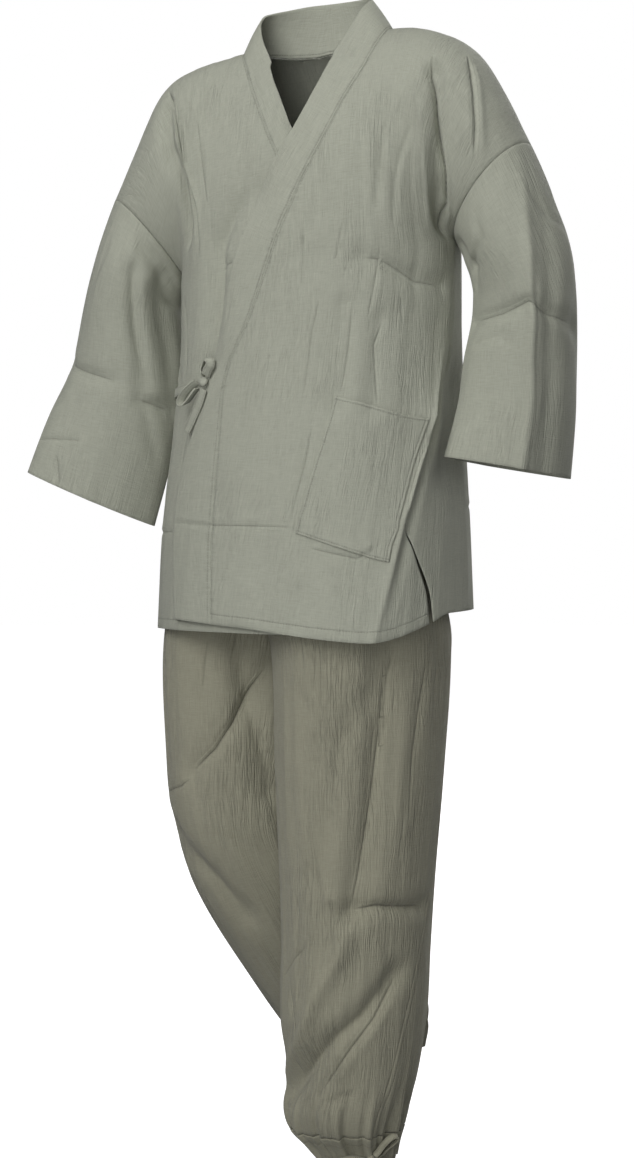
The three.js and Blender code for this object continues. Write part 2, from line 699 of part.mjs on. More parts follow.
// Patch pocket on the left front. It stands on the column lines of the panel under it, moved out.
function pocket() {
  const corner = bodyPanel(1);
  const columns = SECOND_GUIDE - FIRST_GUIDE;
  const rowsAt = (across) => {
    const foot = POCKET_FOOT.row - POCKET_FOOT.drop * across;
    const top = POCKET_TOP.row - POCKET_TOP.drop * across;
    const [low, , , , high] = POCKET_INSIDE_ROWS;
    const lowest = foot < low - 0.005 ? low : (foot + POCKET_INSIDE_ROWS[1]) / 2;
    const highest = top > high + 0.005 ? high : (top + POCKET_INSIDE_ROWS[3]) / 2;
    return [foot, lowest, ...POCKET_INSIDE_ROWS.slice(1, 4), highest, top];
  };
  return gridSolid('patch_pocket', JACKET_COLOUR, POCKET_INSIDE_ROWS.length + 1, columns, (r, c) => {
    const row = rowsAt(c / columns)[r];
    let k = 0;
    while (BODY_ROWS[k + 1] < row) k += 1;
    const t = (row - BODY_ROWS[k]) / (BODY_ROWS[k + 1] - BODY_ROWS[k]);
    const [below, above] = [corner(k, c + FIRST_GUIDE), corner(k + 1, c + FIRST_GUIDE)];
    const point = mix(below[0], above[0], t);
    const normal = unit(minus(point, mix(below[1], above[1], t)));
    return [add(point, normal, POCKET_LIFT + CLOTH), add(point, normal, POCKET_LIFT)];
  });
}

// The collar band is one length from the left hem round the neck and down under the left front.

// The band where it lies on the body: share 0 at the seam, 1 at the free edge.
function bandOnBody(side, row, share) {
  const seam = rowAt(side > 0 ? FRONT_SEAM_LEFT : FRONT_SEAM_RIGHT, row)[0];
  const edgeRow = row + 0.07 * ease(-0.1, 0.15, row) * share;
  const edge = rowAt(side > 0 ? BAND_EDGE_LEFT : BAND_EDGE_RIGHT, edgeRow)[0];
  return bodyPoint(side, span(seam, edge, share), edgeRow, side > 0);
}

function neckSeam(step) {
  const middle = NECK_LENGTHS.length - 1;
  const side = step <= middle ? 1 : -1;
  const place = Math.min(step, NECK_STEPS - step);
  const k = Math.min(middle - 1, Math.floor(place));
  const length = span(NECK_LENGTHS[k], NECK_LENGTHS[k + 1], place - k);
  return bodyHalf(side, innerEdge(side, length) - EDGE_TRIM, length);
}

function bandOnNeck(step, share) {
  const ends = [[1, 0], [-1, NECK_STEPS]].map(([side, end]) => {
    const straight = mix(neckSeam(end), rowAt(NECK_EDGE, end), share);
    return minus(bandOnBody(side, NECK_LENGTHS[0], share), straight);
  });
  const straight = mix(neckSeam(step), rowAt(NECK_EDGE, step), share);
  const [left, right] = [1 - ease(0, 3, step), ease(NECK_STEPS - 3, NECK_STEPS, step)];
  return add(add(straight, ends[0], left), ends[1], right);
}

function collarBand() {
  const low = BAND_LOW_ROWS.length;
  const total = 2 * low + NECK_STEPS;
  const lowRow = (place) => {
    const k = Math.min(low - 1, Math.floor(place));
    return span(BAND_LOW_ROWS[k], k + 1 < low ? BAND_LOW_ROWS[k + 1] : NECK_LENGTHS[0], place - k);
  };
  const along = (place, share) => {
    if (place < low) return bandOnBody(1, lowRow(place), share);
    if (place > total - low) return bandOnBody(-1, lowRow(total - place), share);
    return bandOnNeck(place - low, share);
  };
  return gridSolid('collar_band', JACKET_COLOUR, total, BAND_COLUMNS, (r, c) => {
    const share = c / BAND_COLUMNS;
    const place = Math.min(total - 0.06, Math.max(0.06, r));
    const normal = facing(along, place, Math.min(0.95, Math.max(0.05, share)), 0.05, 0.05, 1);
    const gap = unit(minus(along(r, 1), along(r, 0)));
    const point = add(along(r, share), gap, SEAM_GAP * (1 - share));
    return [add(point, normal, BAND_PROUD), add(point, normal, BAND_PROUD - BAND)];
  });
}

function sleeve(side, name) {
  const last = sleeveTable(side).at(-1)[0];
  const rows = 2 * last;
  return gridSolid(name, JACKET_COLOUR, rows, SLEEVE_COLUMNS, (r, c) => {
    const angle = (c * 360) / SLEEVE_COLUMNS;
    const step = (r * last) / rows;
    const skin = (a, b) => sleevePoint(side, b, a);
    const point = skin(angle, step);
    const normal = facing(skin, angle, Math.min(last - 0.08, Math.max(0.08, step)), 4, 0.08, -side);
    return [point, add(point, normal, -CLOTH)];
  }, true);
}

function legPanel(side, back, name) {
  const foot = casingOf(side).top + CASING_GAP;
  const skin = (a, b) => legPoint(side, a, b);
  return gridSolid(name, TROUSER_COLOUR, LEG_SHARES.length - 1, LEG_COLUMNS, (r, c) => {
    const height = span(foot, WAIST_TOP - SEAM_GAP, LEG_SHARES[r]);
    const seam = rowAt(side > 0 ? SIDE_LEFT : SIDE_RIGHT, height)[0];
    const inner = Math.max(-90, rowAt(INNER, height)[0]);
    const from = back ? seam + EDGE_TRIM * 1.5 : inner + EDGE_TRIM;
    const to = back ? 180 - inner - EDGE_TRIM : seam - EDGE_TRIM * 1.5;
    const angle = span(from, to, c / LEG_COLUMNS);
    let point = skin(angle, height);
    const atMiddle = back ? c === LEG_COLUMNS : c === 0;
    if (atMiddle && height > CROTCH) {
      const [distance, sideways] = fromMiddle(side, point, rowAt(legTable(side), height)[4]);
      point = add(point, sideways, SEAM_GAP - distance);
    }
    return [point, add(point, facing(skin, angle, height, 3, 5, side), -CLOTH)];
  });
}

function ankleCasing(side, name) {
  const { top, foot } = casingOf(side);
  const rows = 3;
  const skin = (a, b) => legPoint(side, a, b);
  return gridSolid(name, TROUSER_COLOUR, rows, CASING_COLUMNS, (r, c) => {
    const angle = (c * 360) / CASING_COLUMNS - 90;
    const height = span(foot, top, r / rows);
    const point = skin(angle, height);
    return [point, add(point, facing(skin, angle, height, 3, 3, side), -CASING_WALL)];
  }, true);
}

function waistband() {
  const [x, y, width, depth, turn] = LEG_LEFT.at(-1).slice(1);
  const t = turn * DEG;
  const ring = (angle, height, inset) => {
    const wave = WAIST_PLEAT_DEPTH * Math.cos(angle * DEG * WAIST_PLEATS) - inset;
    const a = (width + wave) * Math.sin(angle * DEG);
    const b = (depth + wave) * Math.cos(angle * DEG);
    return [x + a * Math.cos(t) + b * Math.sin(t), y + a * Math.sin(t) - b * Math.cos(t), height];
  };
  return gridSolid('waistband', TROUSER_COLOUR, 1, WAIST_COLUMNS, (r, c) => {
    const angle = (c * 360) / WAIST_COLUMNS;
    const height = WAIST_TOP + r * WAIST_HEIGHT;
    return [ring(angle, height, 0), ring(angle, height, WAIST_WALL)];
  }, true);
}

// A flat tape along a path of right, up and out from a knot. 'lean' 0 stands its width out of the cloth
// and 90 lays it flat on the cloth.
function tape(name, colour, place, width, thick, lean, path) {
  const steps = 3 * (path.length - 1);
  const keyed = path.map((row, i) => [i, ...row]);
  const centre = (t) => place(...rowAt(keyed, t));
  const l = lean * DEG;
  return gridSolid(name, colour, steps, 1, (r, c) => {
    const t = r / 3;
    const before = centre(Math.max(0, t - 0.1));
    const tangent = unit(minus(centre(Math.min(path.length - 1, t + 0.1)), before));
    const [right, up, out] = rowAt(keyed, t);
    const outward = unit(minus(place(right, up, out + 1), centre(t)));
    const flat = unit(cross(tangent, outward));
    const edge = unit(add(outward.map((v) => v * Math.cos(l)), flat, Math.sin(l)));
    const face = unit(cross(edge, tangent));
    const side = add(centre(t), edge, (c - 0.5) * width);
    return [add(side, face, thick / 2), add(side, face, -thick / 2)];
  });
}

function knot(name, colour, place, halfWidth, halfHeight, halfDepth) {
  const ball = new THREE.SphereGeometry(1, KNOT_SEGMENTS, KNOT_SEGMENTS / 2 + 1);
  const centre = place(0, 0, halfDepth);
  const right = unit(minus(place(1, 0, halfDepth), centre));
  const out = unit(minus(place(0, 0, halfDepth + 1), centre));
  const up = cross(out, right);
  const turn = new THREE.Matrix4().makeBasis(...[right, up, out].map((v) => new THREE.Vector3(...v)));
  ball.scale(halfWidth, halfHeight, halfDepth);
  ball.applyMatrix4(turn);
  ball.translate(...centre);
  ball.deleteAttribute('uv');
  const material = new THREE.MeshStandardMaterial({ color: colour, roughness: 0.95, metalness: 0 });
  const mesh = new THREE.Mesh(ball, material);
  mesh.name = name;
  return mesh;
}

// Bow at the wearer's right where the band edge of the left front is tied to the right side seam.

function jacketTies() {
  const { angle, row, out } = WAIST_KNOT;
  const place = (r, u, o) => {
    const [a, b] = [angle + r / ANGLE_MM, row + u / ROW_MM_BELOW];
    const normal = facing((p, q) => bodyPoint(1, p, q, true), a, b, 1, 0.01, 1);
    return add(bodyPoint(1, a, b, true), normal, o + out);
  };
  const onRight = (r, u, o) => {
    const [a, b] = [-r / ANGLE_MM, row + u / ROW_MM_BELOW];
    const normal = facing((p, q) => bodyPoint(-1, p, q, false), a, b, 1, 0.01, 1);
    return add(bodyPoint(-1, a, b, false), normal, o);
  };
  return [
    knot('tie_knot', JACKET_COLOUR, place, ...TIE_KNOT),
    tape('tie_loop_upper', JACKET_COLOUR, place, TIE_WIDTH, TIE_THICK, 20, [
      [-2.9, 7.9, 7], [-8, 17, 9], [-6, 27, 10], [2, 32, 10], [11, 29, 10], [13, 21, 9], [9, 14.5, 9],
      [4.7, 7.4, 7],
    ]),
    tape('tie_loop_lower', JACKET_COLOUR, place, TIE_WIDTH, TIE_THICK, 20, [
      [-9.8, 0.2, 7], [-17, -5, 9], [-25, -13, 11], [-30, -22, 11], [-26, -28, 11], [-17, -24, 10], [-10, -15, 9],
      [-5.8, -8.2, 7.4],
    ]),
    tape('tie_end', JACKET_COLOUR, place, TIE_WIDTH, TIE_THICK, 80, [
      [3.6, -9.2, 3.8], [1, -22, 3], [-6, -37, 2.4], [-13, -52, 2.2], [-20, -65, 2.2],
    ]),
    tape('tie_side', JACKET_COLOUR, onRight, TIE_WIDTH, TIE_THICK, 88, [
      [270, 0, 2], [230, 1, 2], [190, 2, 2], [150, 3, 2.4], [126, 3, 4],
    ]),
  ];
}

function ankleLaces(side, label) {
  const { top, foot } = casingOf(side);
  const middle = span(foot, top, 0.3);
  const arc = minus(legPlain(side, LACE_ANGLE + 1, middle), legPlain(side, LACE_ANGLE - 1, middle));
  const perMillimetre = 2 / Math.hypot(...arc);
  const place = (r, u, o) => {
    const [angle, height] = [LACE_ANGLE + side * r * perMillimetre, Math.max(middle + u, foot - 18)];
    const skin = (a, b) => legPlain(side, a, Math.max(b, foot));
    const normal = facing(skin, angle, Math.max(height, foot + 2), 3, 2, side);
    const point = add(skin(angle, Math.max(height, foot)), [0, 0, 1], Math.min(0, height - foot));
    return add(point, normal, o + LACE_LIFT);
  };
  return [
    knot(`ankle_knot_${label}`, TROUSER_COLOUR, place, ...(side > 0 ? LACE_KNOT_LEFT : LACE_KNOT_RIGHT)),
    tape(`ankle_loop_outer_${label}`, TROUSER_COLOUR, place, LACE_WIDTH, LACE_THICK, 25, [
      [3.9, 4, 4.6], [14, 14, 6], [24, 24, 7], [32, 29, 7], [36, 24, 7], [29, 13, 6], [19, 5, 6],
      [6.6, 0, 4.6],
    ]),
    tape(`ankle_loop_inner_${label}`, TROUSER_COLOUR, place, LACE_WIDTH, LACE_THICK, 25, [
      [-5.2, 1.4, 4.6], [-20, 5, 6], [-36, 3, 6], [-50, -2, 6], [-54, -8, 6], [-44, -10, 6], [-28, -7, 6],
      [-4.8, -3, 4.6],
    ]),
    tape(`ankle_lace_end_${label}`, TROUSER_COLOUR, place, LACE_WIDTH, LACE_THICK, 75, [
      [1.9, -4.8, 3], [7, -12, 2.6], [12, -18, 2.4], [15, -24, 2.4],
    ]),
  ];
}

const samue = new THREE.Group();
samue.name = 'samue';
samue.add(
  jacketBody(1, 'jacket_body_left'),
  jacketBody(-1, 'jacket_body_right'),
  collarBand(),
  sleeve(1, 'sleeve_left'),
  sleeve(-1, 'sleeve_right'),
  pocket(),
  ...jacketTies(),
  legPanel(1, false, 'leg_left_front'),
  legPanel(1, true, 'leg_left_back'),
  legPanel(-1, false, 'leg_right_front'),
  legPanel(-1, true, 'leg_right_back'),
  waistband(),
  ankleCasing(1, 'ankle_casing_left'),
  ankleCasing(-1, 'ankle_casing_right'),
  ...ankleLaces(1, 'left'),
  ...ankleLaces(-1, 'right'),
);

export default samue;
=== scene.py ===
import math

import bmesh
import bpy
import numpy as np
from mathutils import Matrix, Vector


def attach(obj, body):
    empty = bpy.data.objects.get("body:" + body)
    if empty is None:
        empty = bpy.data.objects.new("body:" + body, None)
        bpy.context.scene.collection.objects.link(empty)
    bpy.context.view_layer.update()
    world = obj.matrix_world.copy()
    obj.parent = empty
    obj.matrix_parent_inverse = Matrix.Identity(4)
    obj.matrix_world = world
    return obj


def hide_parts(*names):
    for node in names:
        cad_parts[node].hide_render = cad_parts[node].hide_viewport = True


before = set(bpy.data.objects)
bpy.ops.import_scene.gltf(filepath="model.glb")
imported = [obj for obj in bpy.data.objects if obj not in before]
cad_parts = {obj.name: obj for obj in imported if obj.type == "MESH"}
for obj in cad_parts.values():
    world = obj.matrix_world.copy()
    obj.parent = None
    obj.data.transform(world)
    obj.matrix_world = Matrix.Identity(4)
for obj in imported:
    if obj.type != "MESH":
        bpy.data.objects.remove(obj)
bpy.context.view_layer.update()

# Samue, worn. Lengths are in millimetres and angles in degrees, unless a comment says otherwise. The front
# is towards -Y and the wearer's left towards +X, and a side of 1 is the left and -1 the right.
# One millimetre, in Blender's metres.
MM = 0.001

# Walls of cloth, and the gaps at its seams.
CLOTH_WALL = 1.5
BAND_WALL = 2.8
CASING_WALL = 2.2
WAISTBAND_WALL = 2.6
TIE_WALL = 2.2
LACE_WALL = 2
RIM = 0.4
SEAM_GAP = 0.3
SLEEVE_GAP = 0.15
CASING_GAP = 1.2
BAND_SEAM = 0.05
EDGE_TRIM = 0.012
LEGS_APART = 1.5

# How far cloth stands off the cloth below it, the width of the band, and how much higher its free edge is.
WRAP_LIFT = 7
POCKET_LIFT = 0.4
POCKET_SWELL = 0.5
POCKET_MOUTH = 3
BAND_PROUD = 0.6
BAND_ROLL = 1.2
BAND_WIDTH = 48
BAND_RISE = 0.07

# Flat millimetres for each degree round a piece, and for each row or step along it.
ANGLE_MM = 3.3
ROW_MM_BELOW = 470
ROW_MM_ABOVE = 320
SLEEVE_ANGLE_MM = 1.22
SLEEVE_STEP_MM = 62
LEG_ANGLE_MM = 1.75
WAIST_ANGLE_MM = 2.1

# Places on the body, the neck and the trousers.
ARMPIT_HEIGHT = -277.5
ARMPIT_TILT = 27.5
SLIT_TOP = -0.7
NECK_ANGLE = 34.2
NECK_DROP = 0.23
WAIST_TOP = -440
WAIST_HEIGHT = 32
CROTCH = -755
CHEST_MIDDLE = (0, 5, -100)
HIP_MIDDLE = (0, 5, -500)
HIP_X, HIP_Y, HIP_TURN = -9.5, 17, -37
CASING = {1: (-1375, -1414), -1: (-1298, -1330)}

# Gathers at the ankles and the waist: number round the piece, height, and length along it.
ANKLE_PLEATS = 9
PLEAT_DEPTH = 3.2
PLEAT_FADE = 70
GATHER_FADE = 74
WAIST_GATHERS = 10
WAIST_GATHER_DEPTH = 1.6

# Narrow creases get a sharp grooved line, darkened with painted shade: the widest reach that does, and the
# depth of a full line.
PRESSED_REACH = 5
PRESSED_DEPTH = 3.6

# The raised lip beside a crease, in reaches: how far off it lies and how wide it is.
LIP_AWAY = 1.7
LIP_WIDTH = 1.2

# Ripples end this many half sizes from their middle, and this share of them is raised.
RIPPLE_END = 2.6
RAISED_SHARE = 0.42

# The pocket's lower and upper edge: length at its inner corner, and the drop to its outer corner.
POCKET_LOWER = (-0.734, -0.066)
POCKET_UPPER = (-0.375, -0.079)

# Ties and tapes: width, place of the knot, and half sizes of the knots.
TIE_WIDTH = 11.5
TIE_KNOT = (7.5, 7.5, 5)
KNOT_ANGLE, KNOT_ROW, KNOT_OUT = -27.8, -0.318, 1.3
SIDE_TIE_LEAN = 88
LACE_WIDTH = 8
LACE_KNOTS = {1: (6, 5.5, 4), -1: (6.8, 6.7, 4)}
LACE_ANGLE = 80
LACE_SHARE = 0.3
LACE_DROP = 18
LACE_OUT = 0.35

# Steps of the grids. A pair is along the piece, then round or across it.
BODY_COLUMNS = 104
BODY_COUNT = 400
SLEEVE_COUNT = (96, 130)
LEG_COUNT = (216, 96)
CASING_COUNT = (16, 216)
WAISTBAND_COUNT = (8, 180)
BAND_COUNT = 460
BAND_COLUMNS = 14
POCKET_COUNT = (66, 58)
TAPE_STEPS = 7

# Thread spacing and stitch length in metres, and the colours of the cloth in the render.
WEAVE = 0.0009
STITCH = 0.0032
JACKET_COLOUR = (166, 168, 154)
TROUSER_COLOUR = (151, 149, 131)

# The studio, in metres: the floor, the camera of the photograph, and soft lamps with their name, power,
# size, place and aim.
FLOOR_RADIUS = 9
FLOOR_LEVEL = -1.5
CAMERA_DISTANCE = 4.2
CAMERA_TURN = 18
CAMERA_LEVEL = -0.377
CAMERA_AIM = (0, 0, -0.677)
CAMERA_LENS = 103.03
CAMERA_SENSOR = 36
LIGHTS = [
    ("key", 105, (2.4, 2.4), (-0.8, -3.8, 2.1), (0, 0, -0.6)),
    ("front", 70, (3.0, 3.0), (0.5, -5.0, 0.1), (0, 0, -0.7)),
    ("right", 22, (2.6, 3.0), (4.0, -0.9, 0.1), (0, 0, -0.7)),
    ("top", 26, (2.0, 2.0), (0.1, -0.7, 2.5), (0, 0, -0.4)),
    ("low", 10, (3.0, 2.0), (-0.2, -1.9, -1.45), (0, 0, -0.3)),
    ("back", 130, (3.0, 2.6), (0.9, 4.2, 0.8), (0, 0, -0.7)),
]

# The cut of each piece before it was worn, in millimetres: width, length, flat area in square centimetres,
# how the cloth is held, what it is sewn to, and the small pieces that belong to it.
SHEETS = {
    "jacket_body_left": (340, 1620, 4400, "draped", [], []),
    "jacket_body_right": (340, 1560, 4350, "draped", [], []),
    "collar_band": (50, 1910, 955, "draped", ["jacket_body_left", "jacket_body_right"], []),
    "sleeve_left": (460, 400, 1640, "hung", ["jacket_body_left"], []),
    "sleeve_right": (450, 390, 1510, "hung", ["jacket_body_right"], []),
    "patch_pocket": (121, 180, 217, "draped", ["jacket_body_left"], []),
    "tie_side": (11.5, 122, 14, "hung", ["jacket_body_right"], ["tie_knot"]),
    "tie_loop_upper": (11.5, 56, 6.4, "hung", ["tie_knot"], []),
    "tie_loop_lower": (11.5, 70, 8, "hung", ["tie_knot"], []),
    "tie_end": (11.5, 63, 7.2, "hung", ["tie_knot"], []),
    "leg_left_front": (390, 985, 3210, "hung", ["waistband"], []),
    "leg_left_back": (270, 975, 2110, "hung", ["waistband"], []),
    "leg_right_front": (380, 985, 3010, "hung", ["waistband"], []),
    "leg_right_back": (310, 930, 2360, "hung", ["waistband"], []),
    "waistband": (32, 745, 238, "stretched", [], []),
    "ankle_casing_left": (46, 420, 192, "gathered", ["leg_left_front", "leg_left_back"], []),
    "ankle_casing_right": (45, 445, 200, "gathered", ["leg_right_front", "leg_right_back"], []),
    "ankle_lace_end_left": (10, 26, 2.1, "hung", ["ankle_casing_left"], ["ankle_knot_left"]),
    "ankle_loop_inner_left": (10, 108, 8.7, "hung", ["ankle_knot_left"], []),
    "ankle_loop_outer_left": (10, 88, 7, "hung", ["ankle_knot_left"], []),
    "ankle_lace_end_right": (10, 28, 2.2, "hung", ["ankle_casing_right"], ["ankle_knot_right"]),
    "ankle_loop_inner_right": (10, 111, 8.9, "hung", ["ankle_knot_right"], []),
    "ankle_loop_outer_right": (10, 110, 8.8, "hung", ["ankle_knot_right"], []),
}

# The next tables are the forms that the solids have too.
# Rings of the trunk: height, middle x and y, half width, half depth, squareness, turn.
TORSO = [
    [-760, -10, 22, 212, 172, 2.2, -20], [-620, -8, 19, 201, 162, 2.25, -14],
    [-500, -3, 16, 187, 154, 2.3, -8], [-380, 1, 14, 178, 146, 2.3, -3], [-270, 1, 12, 179, 138, 2.2, 0],
    [-240, 1, 12, 179, 136, 2.2, 0],
]
# Shoulder line: share of the way out, x, y, z.
SHOULDER_LEFT = [
    [0, 0, 5, 6], [0.38, 97, 5, 13], [0.5, 130, 5, 13], [0.62, 163, 5, 5], [0.74, 194, 5, -9],
    [0.84, 219, 5, -32], [0.92, 246, 5, -76], [1, 276, 5, -134],
]
SHOULDER_RIGHT = [
    [0, 0, 5, 6], [0.38, -97, 5, -13], [0.5, -128, 5, -22], [0.62, -162, 5, -34], [0.74, -192, 6, -53],
    [0.84, -216, 7, -84], [0.92, -243, 8, -140], [1, -274, 9, -203],
]
# Sleeve rings from armhole to cuff: step, middle x, y and z, half width, half depth, squareness,
# tilt, turn, lift.
SLEEVE_LEFT = [
    [0, 231.5, 5, -192, 73, 75, 2, 52.5, 0, 12], [1, 248, 8, -238, 67, 80, 1.9, 32, 6, 6],
    [2, 263, 12, -283, 65, 84, 1.75, 16, 15, 2], [3, 267, 14, -330, 65, 86, 1.6, 6, 24, 0],
    [4, 262, 12, -400, 72, 80, 1.55, 0, 28, 0], [5, 259.5, 6, -460, 77, 74, 1.5, -5, 33, 0],
    [6, 250, -2, -533, 86, 66, 1.45, -10, 37, 0],
]
SLEEVE_RIGHT = [
    [0, -226, 10, -254, 70, 80, 2, 48, -10, 20], [1, -243, 10, -302, 62, 84, 2, 30, -6, 10],
    [2, -252, 12, -350, 65, 80, 2, 12, -3, 4], [3, -259, 5, -415, 74, 68, 1.9, 4, -8, 0],
    [4, -276, -8, -492, 84, 54, 1.8, 13, -14, 0], [5, -300, -20, -579, 89, 42, 1.7, 23, -18, 0],
]
# Leg rings from the ankle up: height, middle x and y, half width, half depth, turn, pitch.
LEG_LEFT = [
    [-1414, 56.8, -13.1, 46, 50, -40, 0], [-1395, 51.4, -15.9, 56, 60, -40, 0],
    [-1375, 46.3, -19.6, 68, 72, -40, 0], [-1345, 47.3, -22.5, 76, 80, -40, 0],
    [-1300, 55.5, -21.9, 78, 84, -40, 0], [-1225, 57.1, -23.5, 82, 98, -38, 0],
    [-1140, 60.2, -23.5, 84, 100, -37, 0], [-1060, 62.4, -23.9, 86, 104, -37, 0],
    [-905, 65.9, -24.8, 92, 115, -37, 0], [-755, 66.9, -24.5, 95, 124, -37, 0],
    [-690, 49, -22, 108, 130, -33, 0], [-620, 31, -5, 124, 126, -28, 0], [-540, 10, 9, 140, 116, -22, 0],
    [-470, -9, 16, 145, 106, -18, 0], [-440, -9, 16, 136, 98, -18, 0],
]
LEG_RIGHT = [
    [-1330, 32.6, 210.4, 50, 52, -37, 33], [-1300, 21.1, 194, 70, 76, -37, 33],
    [-1250, -3.8, 167, 78, 94, -37, 33], [-1140, -49.1, 112.3, 82, 105, -37, 30],
    [-1050, -83.6, 63.2, 86, 108, -37, 20], [-985, -100.9, 38.7, 88, 108, -37, 8],
    [-905, -99, 45.7, 92, 124, -37, 0], [-755, -86.8, 60.1, 95, 146, -37, -6],
    [-690, -67, 53, 108, 134, -33, -3], [-620, -49, 38, 124, 126, -28, 0],
    [-540, -28, 24, 140, 116, -22, 0], [-470, -9, 16, 145, 106, -18, 0], [-440, -9, 16, 136, 98, -18, 0],
]
# Seams and edges on the body are angles at a row. Row -1 is the hem, 0 the armpit and 1 the
# shoulder. The band is sewn to the front seams and ends at the band edges.
FRONT_SEAM_LEFT = [
    [-1, -7], [-0.88, -9.4], [-0.68, -12.8], [-0.46, -16.5], [-0.29, -17.6], [-0.15, -11], [0.02, -4.6],
    [0.18, 3], [0.34, 13.3], [0.46, 20.1], [0.62, 28], [0.82, 33], [1, 34.2],
]
FRONT_SEAM_RIGHT = [
    [-1, 8], [-0.6, 15], [-0.3, 18], [-0.1, 12], [0.1, 5], [0.24, 0], [0.4, -10.6], [0.62, -23],
    [0.82, -31], [1, -34.2],
]
BAND_EDGE_LEFT = [
    [-1, -26], [-0.85, -31], [-0.7, -35], [-0.57, -35], [-0.43, -30], [-0.33, -27.5], [-0.25, -27],
    [-0.15, -24.5], [0.02, -20], [0.22, -9.6], [0.38, 0.8], [0.53, 7.7], [0.69, 13.1],
]
BAND_EDGE_RIGHT = [
    [-1, 28], [-0.6, 33], [-0.3, 35], [-0.1, 29], [0.1, 20], [0.25, 10], [0.38, 0.8], [0.47, -4],
    [0.6, -11.1], [0.69, -15],
]
SIDE_SEAM_LEFT = [
    [-1, 59.3], [-0.7, 59.3], [-0.58, 62.7], [-0.45, 69.5], [-0.17, 81.2], [0, 90],
]
SIDE_SEAM_RIGHT = [
    [-1, -80], [-0.7, -80], [-0.4, -86], [0, -90],
]
# Opening of the side slits: row, and how far the front and the back part.
SLIT_LEFT = [
    [-1, 18.5, 21], [-0.9, 15, 17], [-0.7, 0, 0],
]
SLIT_RIGHT = [
    [-1, -3, 5], [-0.7, 0, 0],
]
# Hem of the jacket: angle, height.
HEM_LEFT = [
    [-50, -722], [0, -728], [37, -741], [55, -743], [78, -723], [90, -712], [180, -722],
]
HEM_RIGHT = [
    [-180, -722], [-120, -738], [-90, -750], [-50, -742], [0, -736], [40, -735],
]
# Large folds: reach, height, kind, and a path of angle and row, step or height.
BODY_FOLDS = [
    (30, 5, "sharp", [[81.2, -0.17], [69.5, -0.45]]),
    (34, 11, "sharp", [[69.5, -0.45], [59.3, -0.7], [52.4, -1]]),
    (17, -13, "soft", [[63, 0.62], [75, 0.42], [80, 0.26], [78, 0.08]]),
    (13, -5, "soft", [[28, -0.02], [48, -0.07], [74, -0.12]]),
    (26, -9, "soft", [[-14, 0.2], [-24, 0.15], [-31, 0.08], [-30, -0.13], [-29, -0.26]]),
    (17, -12, "soft", [[-70, 0.66], [-72, 0.48], [-64, 0.33], [-58, 0.16]]),
    (16, -4, "soft", [[24, -0.14], [24, -0.4]]), (15, -4, "soft", [[38, -0.19], [39, -0.41]]),
    (20, -12, "soft", [[116, 0.6], [103, 0.35], [101, 0.08]]),
    (20, -11, "soft", [[-118, 0.58], [-104, 0.35], [-103, 0.1]]),
    (24, -7, "soft", [[142, 0.3], [136, -0.15], [146, -0.62]]),
    (22, -6, "soft", [[-146, 0.24], [-138, -0.3], [-150, -0.8]]),
    (24, -5, "soft", [[158, -0.1], [154, -0.8]]), (30, 9, "soft", [[-100, -0.78], [-104, -0.9]]),
    (34, -9, "soft", [[88, -0.4], [86, -0.6]]),
]
SLEEVE_FOLDS_LEFT = [
    (11, -5, "soft", [[10, 3.3], [46, 3.14], [80, 2.95], [111, 3.2], [151, 3.43]]),
    (13, -6, "soft", [[20, 0.4], [24, 1.6]]), (13, -6, "soft", [[300, 0.5], [320, 1.8]]),
    (14, -5, "soft", [[225, 2.9], [330, 3.3]]),
]
SLEEVE_FOLDS_RIGHT = [
    (13, -6, "soft", [[78, 0.3], [46, 0.5], [20, 1]]),
    (14, -5, "soft", [[78, 0.9], [69, 1.7], [60, 3.1]]), (9, -3, "soft", [[168, 2.9], [91, 3.15]]),
    (9, -4, "soft", [[61, 3.44], [20, 3.54]]), (14, -6, "soft", [[300, 0.5], [320, 1.8]]),
    (12, -4, "soft", [[225, 3], [330, 3.3]]),
]
LEG_FOLDS_LEFT = [
    (20, -10, "soft", [[77, -760], [75, -840], [69, -938], [60, -1037], [54, -1085]]),
    (12, -6, "soft", [[56, -1081], [74, -1076], [117, -1083]]),
    (18, -5, "soft", [[62, -815], [47, -875], [38, -963], [29, -1038]]),
    (15, 5, "soft", [[56, -1095], [46, -1134], [30, -1187], [12, -1248], [-20, -1300]]),
    (16, -9, "soft", [[92, -1165], [67, -1216], [46, -1244], [15, -1291], [-9, -1321]]),
    (20, -8, "soft", [[170, -780], [178, -900], [168, -1010]]),
    (18, -8, "soft", [[230, -1100], [200, -1180], [186, -1290]]),
    (18, -6, "soft", [[240, -850], [232, -1000]]),
]
LEG_FOLDS_RIGHT = [
    (12, -6, "soft", [[-69, -792], [-49, -863], [-18, -920]]),
    (18, -9, "soft", [[-49, -757], [-58, -832], [-76, -941]]),
    (18, -8, "soft", [[20, -990], [-19, -1034], [-30, -1071]]),
    (20, -7, "soft", [[60, -820], [52, -960]]), (20, -8, "soft", [[170, -780], [182, -880], [176, -960]]),
    (18, -8, "soft", [[150, -1040], [190, -1100], [225, -1180]]),
    (18, -6, "soft", [[80, -1080], [100, -1200], [90, -1280]]),
]
# Side and inner seams of the trousers: height, angle.
SIDE_LEFT = [
    [-1414, 82], [-1337, 89], [-1249, 100], [-1129, 117], [-1052, 130], [-941, 140], [-755, 138],
    [-600, 112], [-440, 95],
]
SIDE_RIGHT = [
    [-1330, 96], [-1000, 104], [-600, 100], [-440, 95],
]
INNER = [
    [-1500, -90], [-768, -90], [-745, -72], [-715, -52], [-690, -39], [-620, -20.5], [-540, -8],
    [-470, 0.7], [-440, 0.7],
]
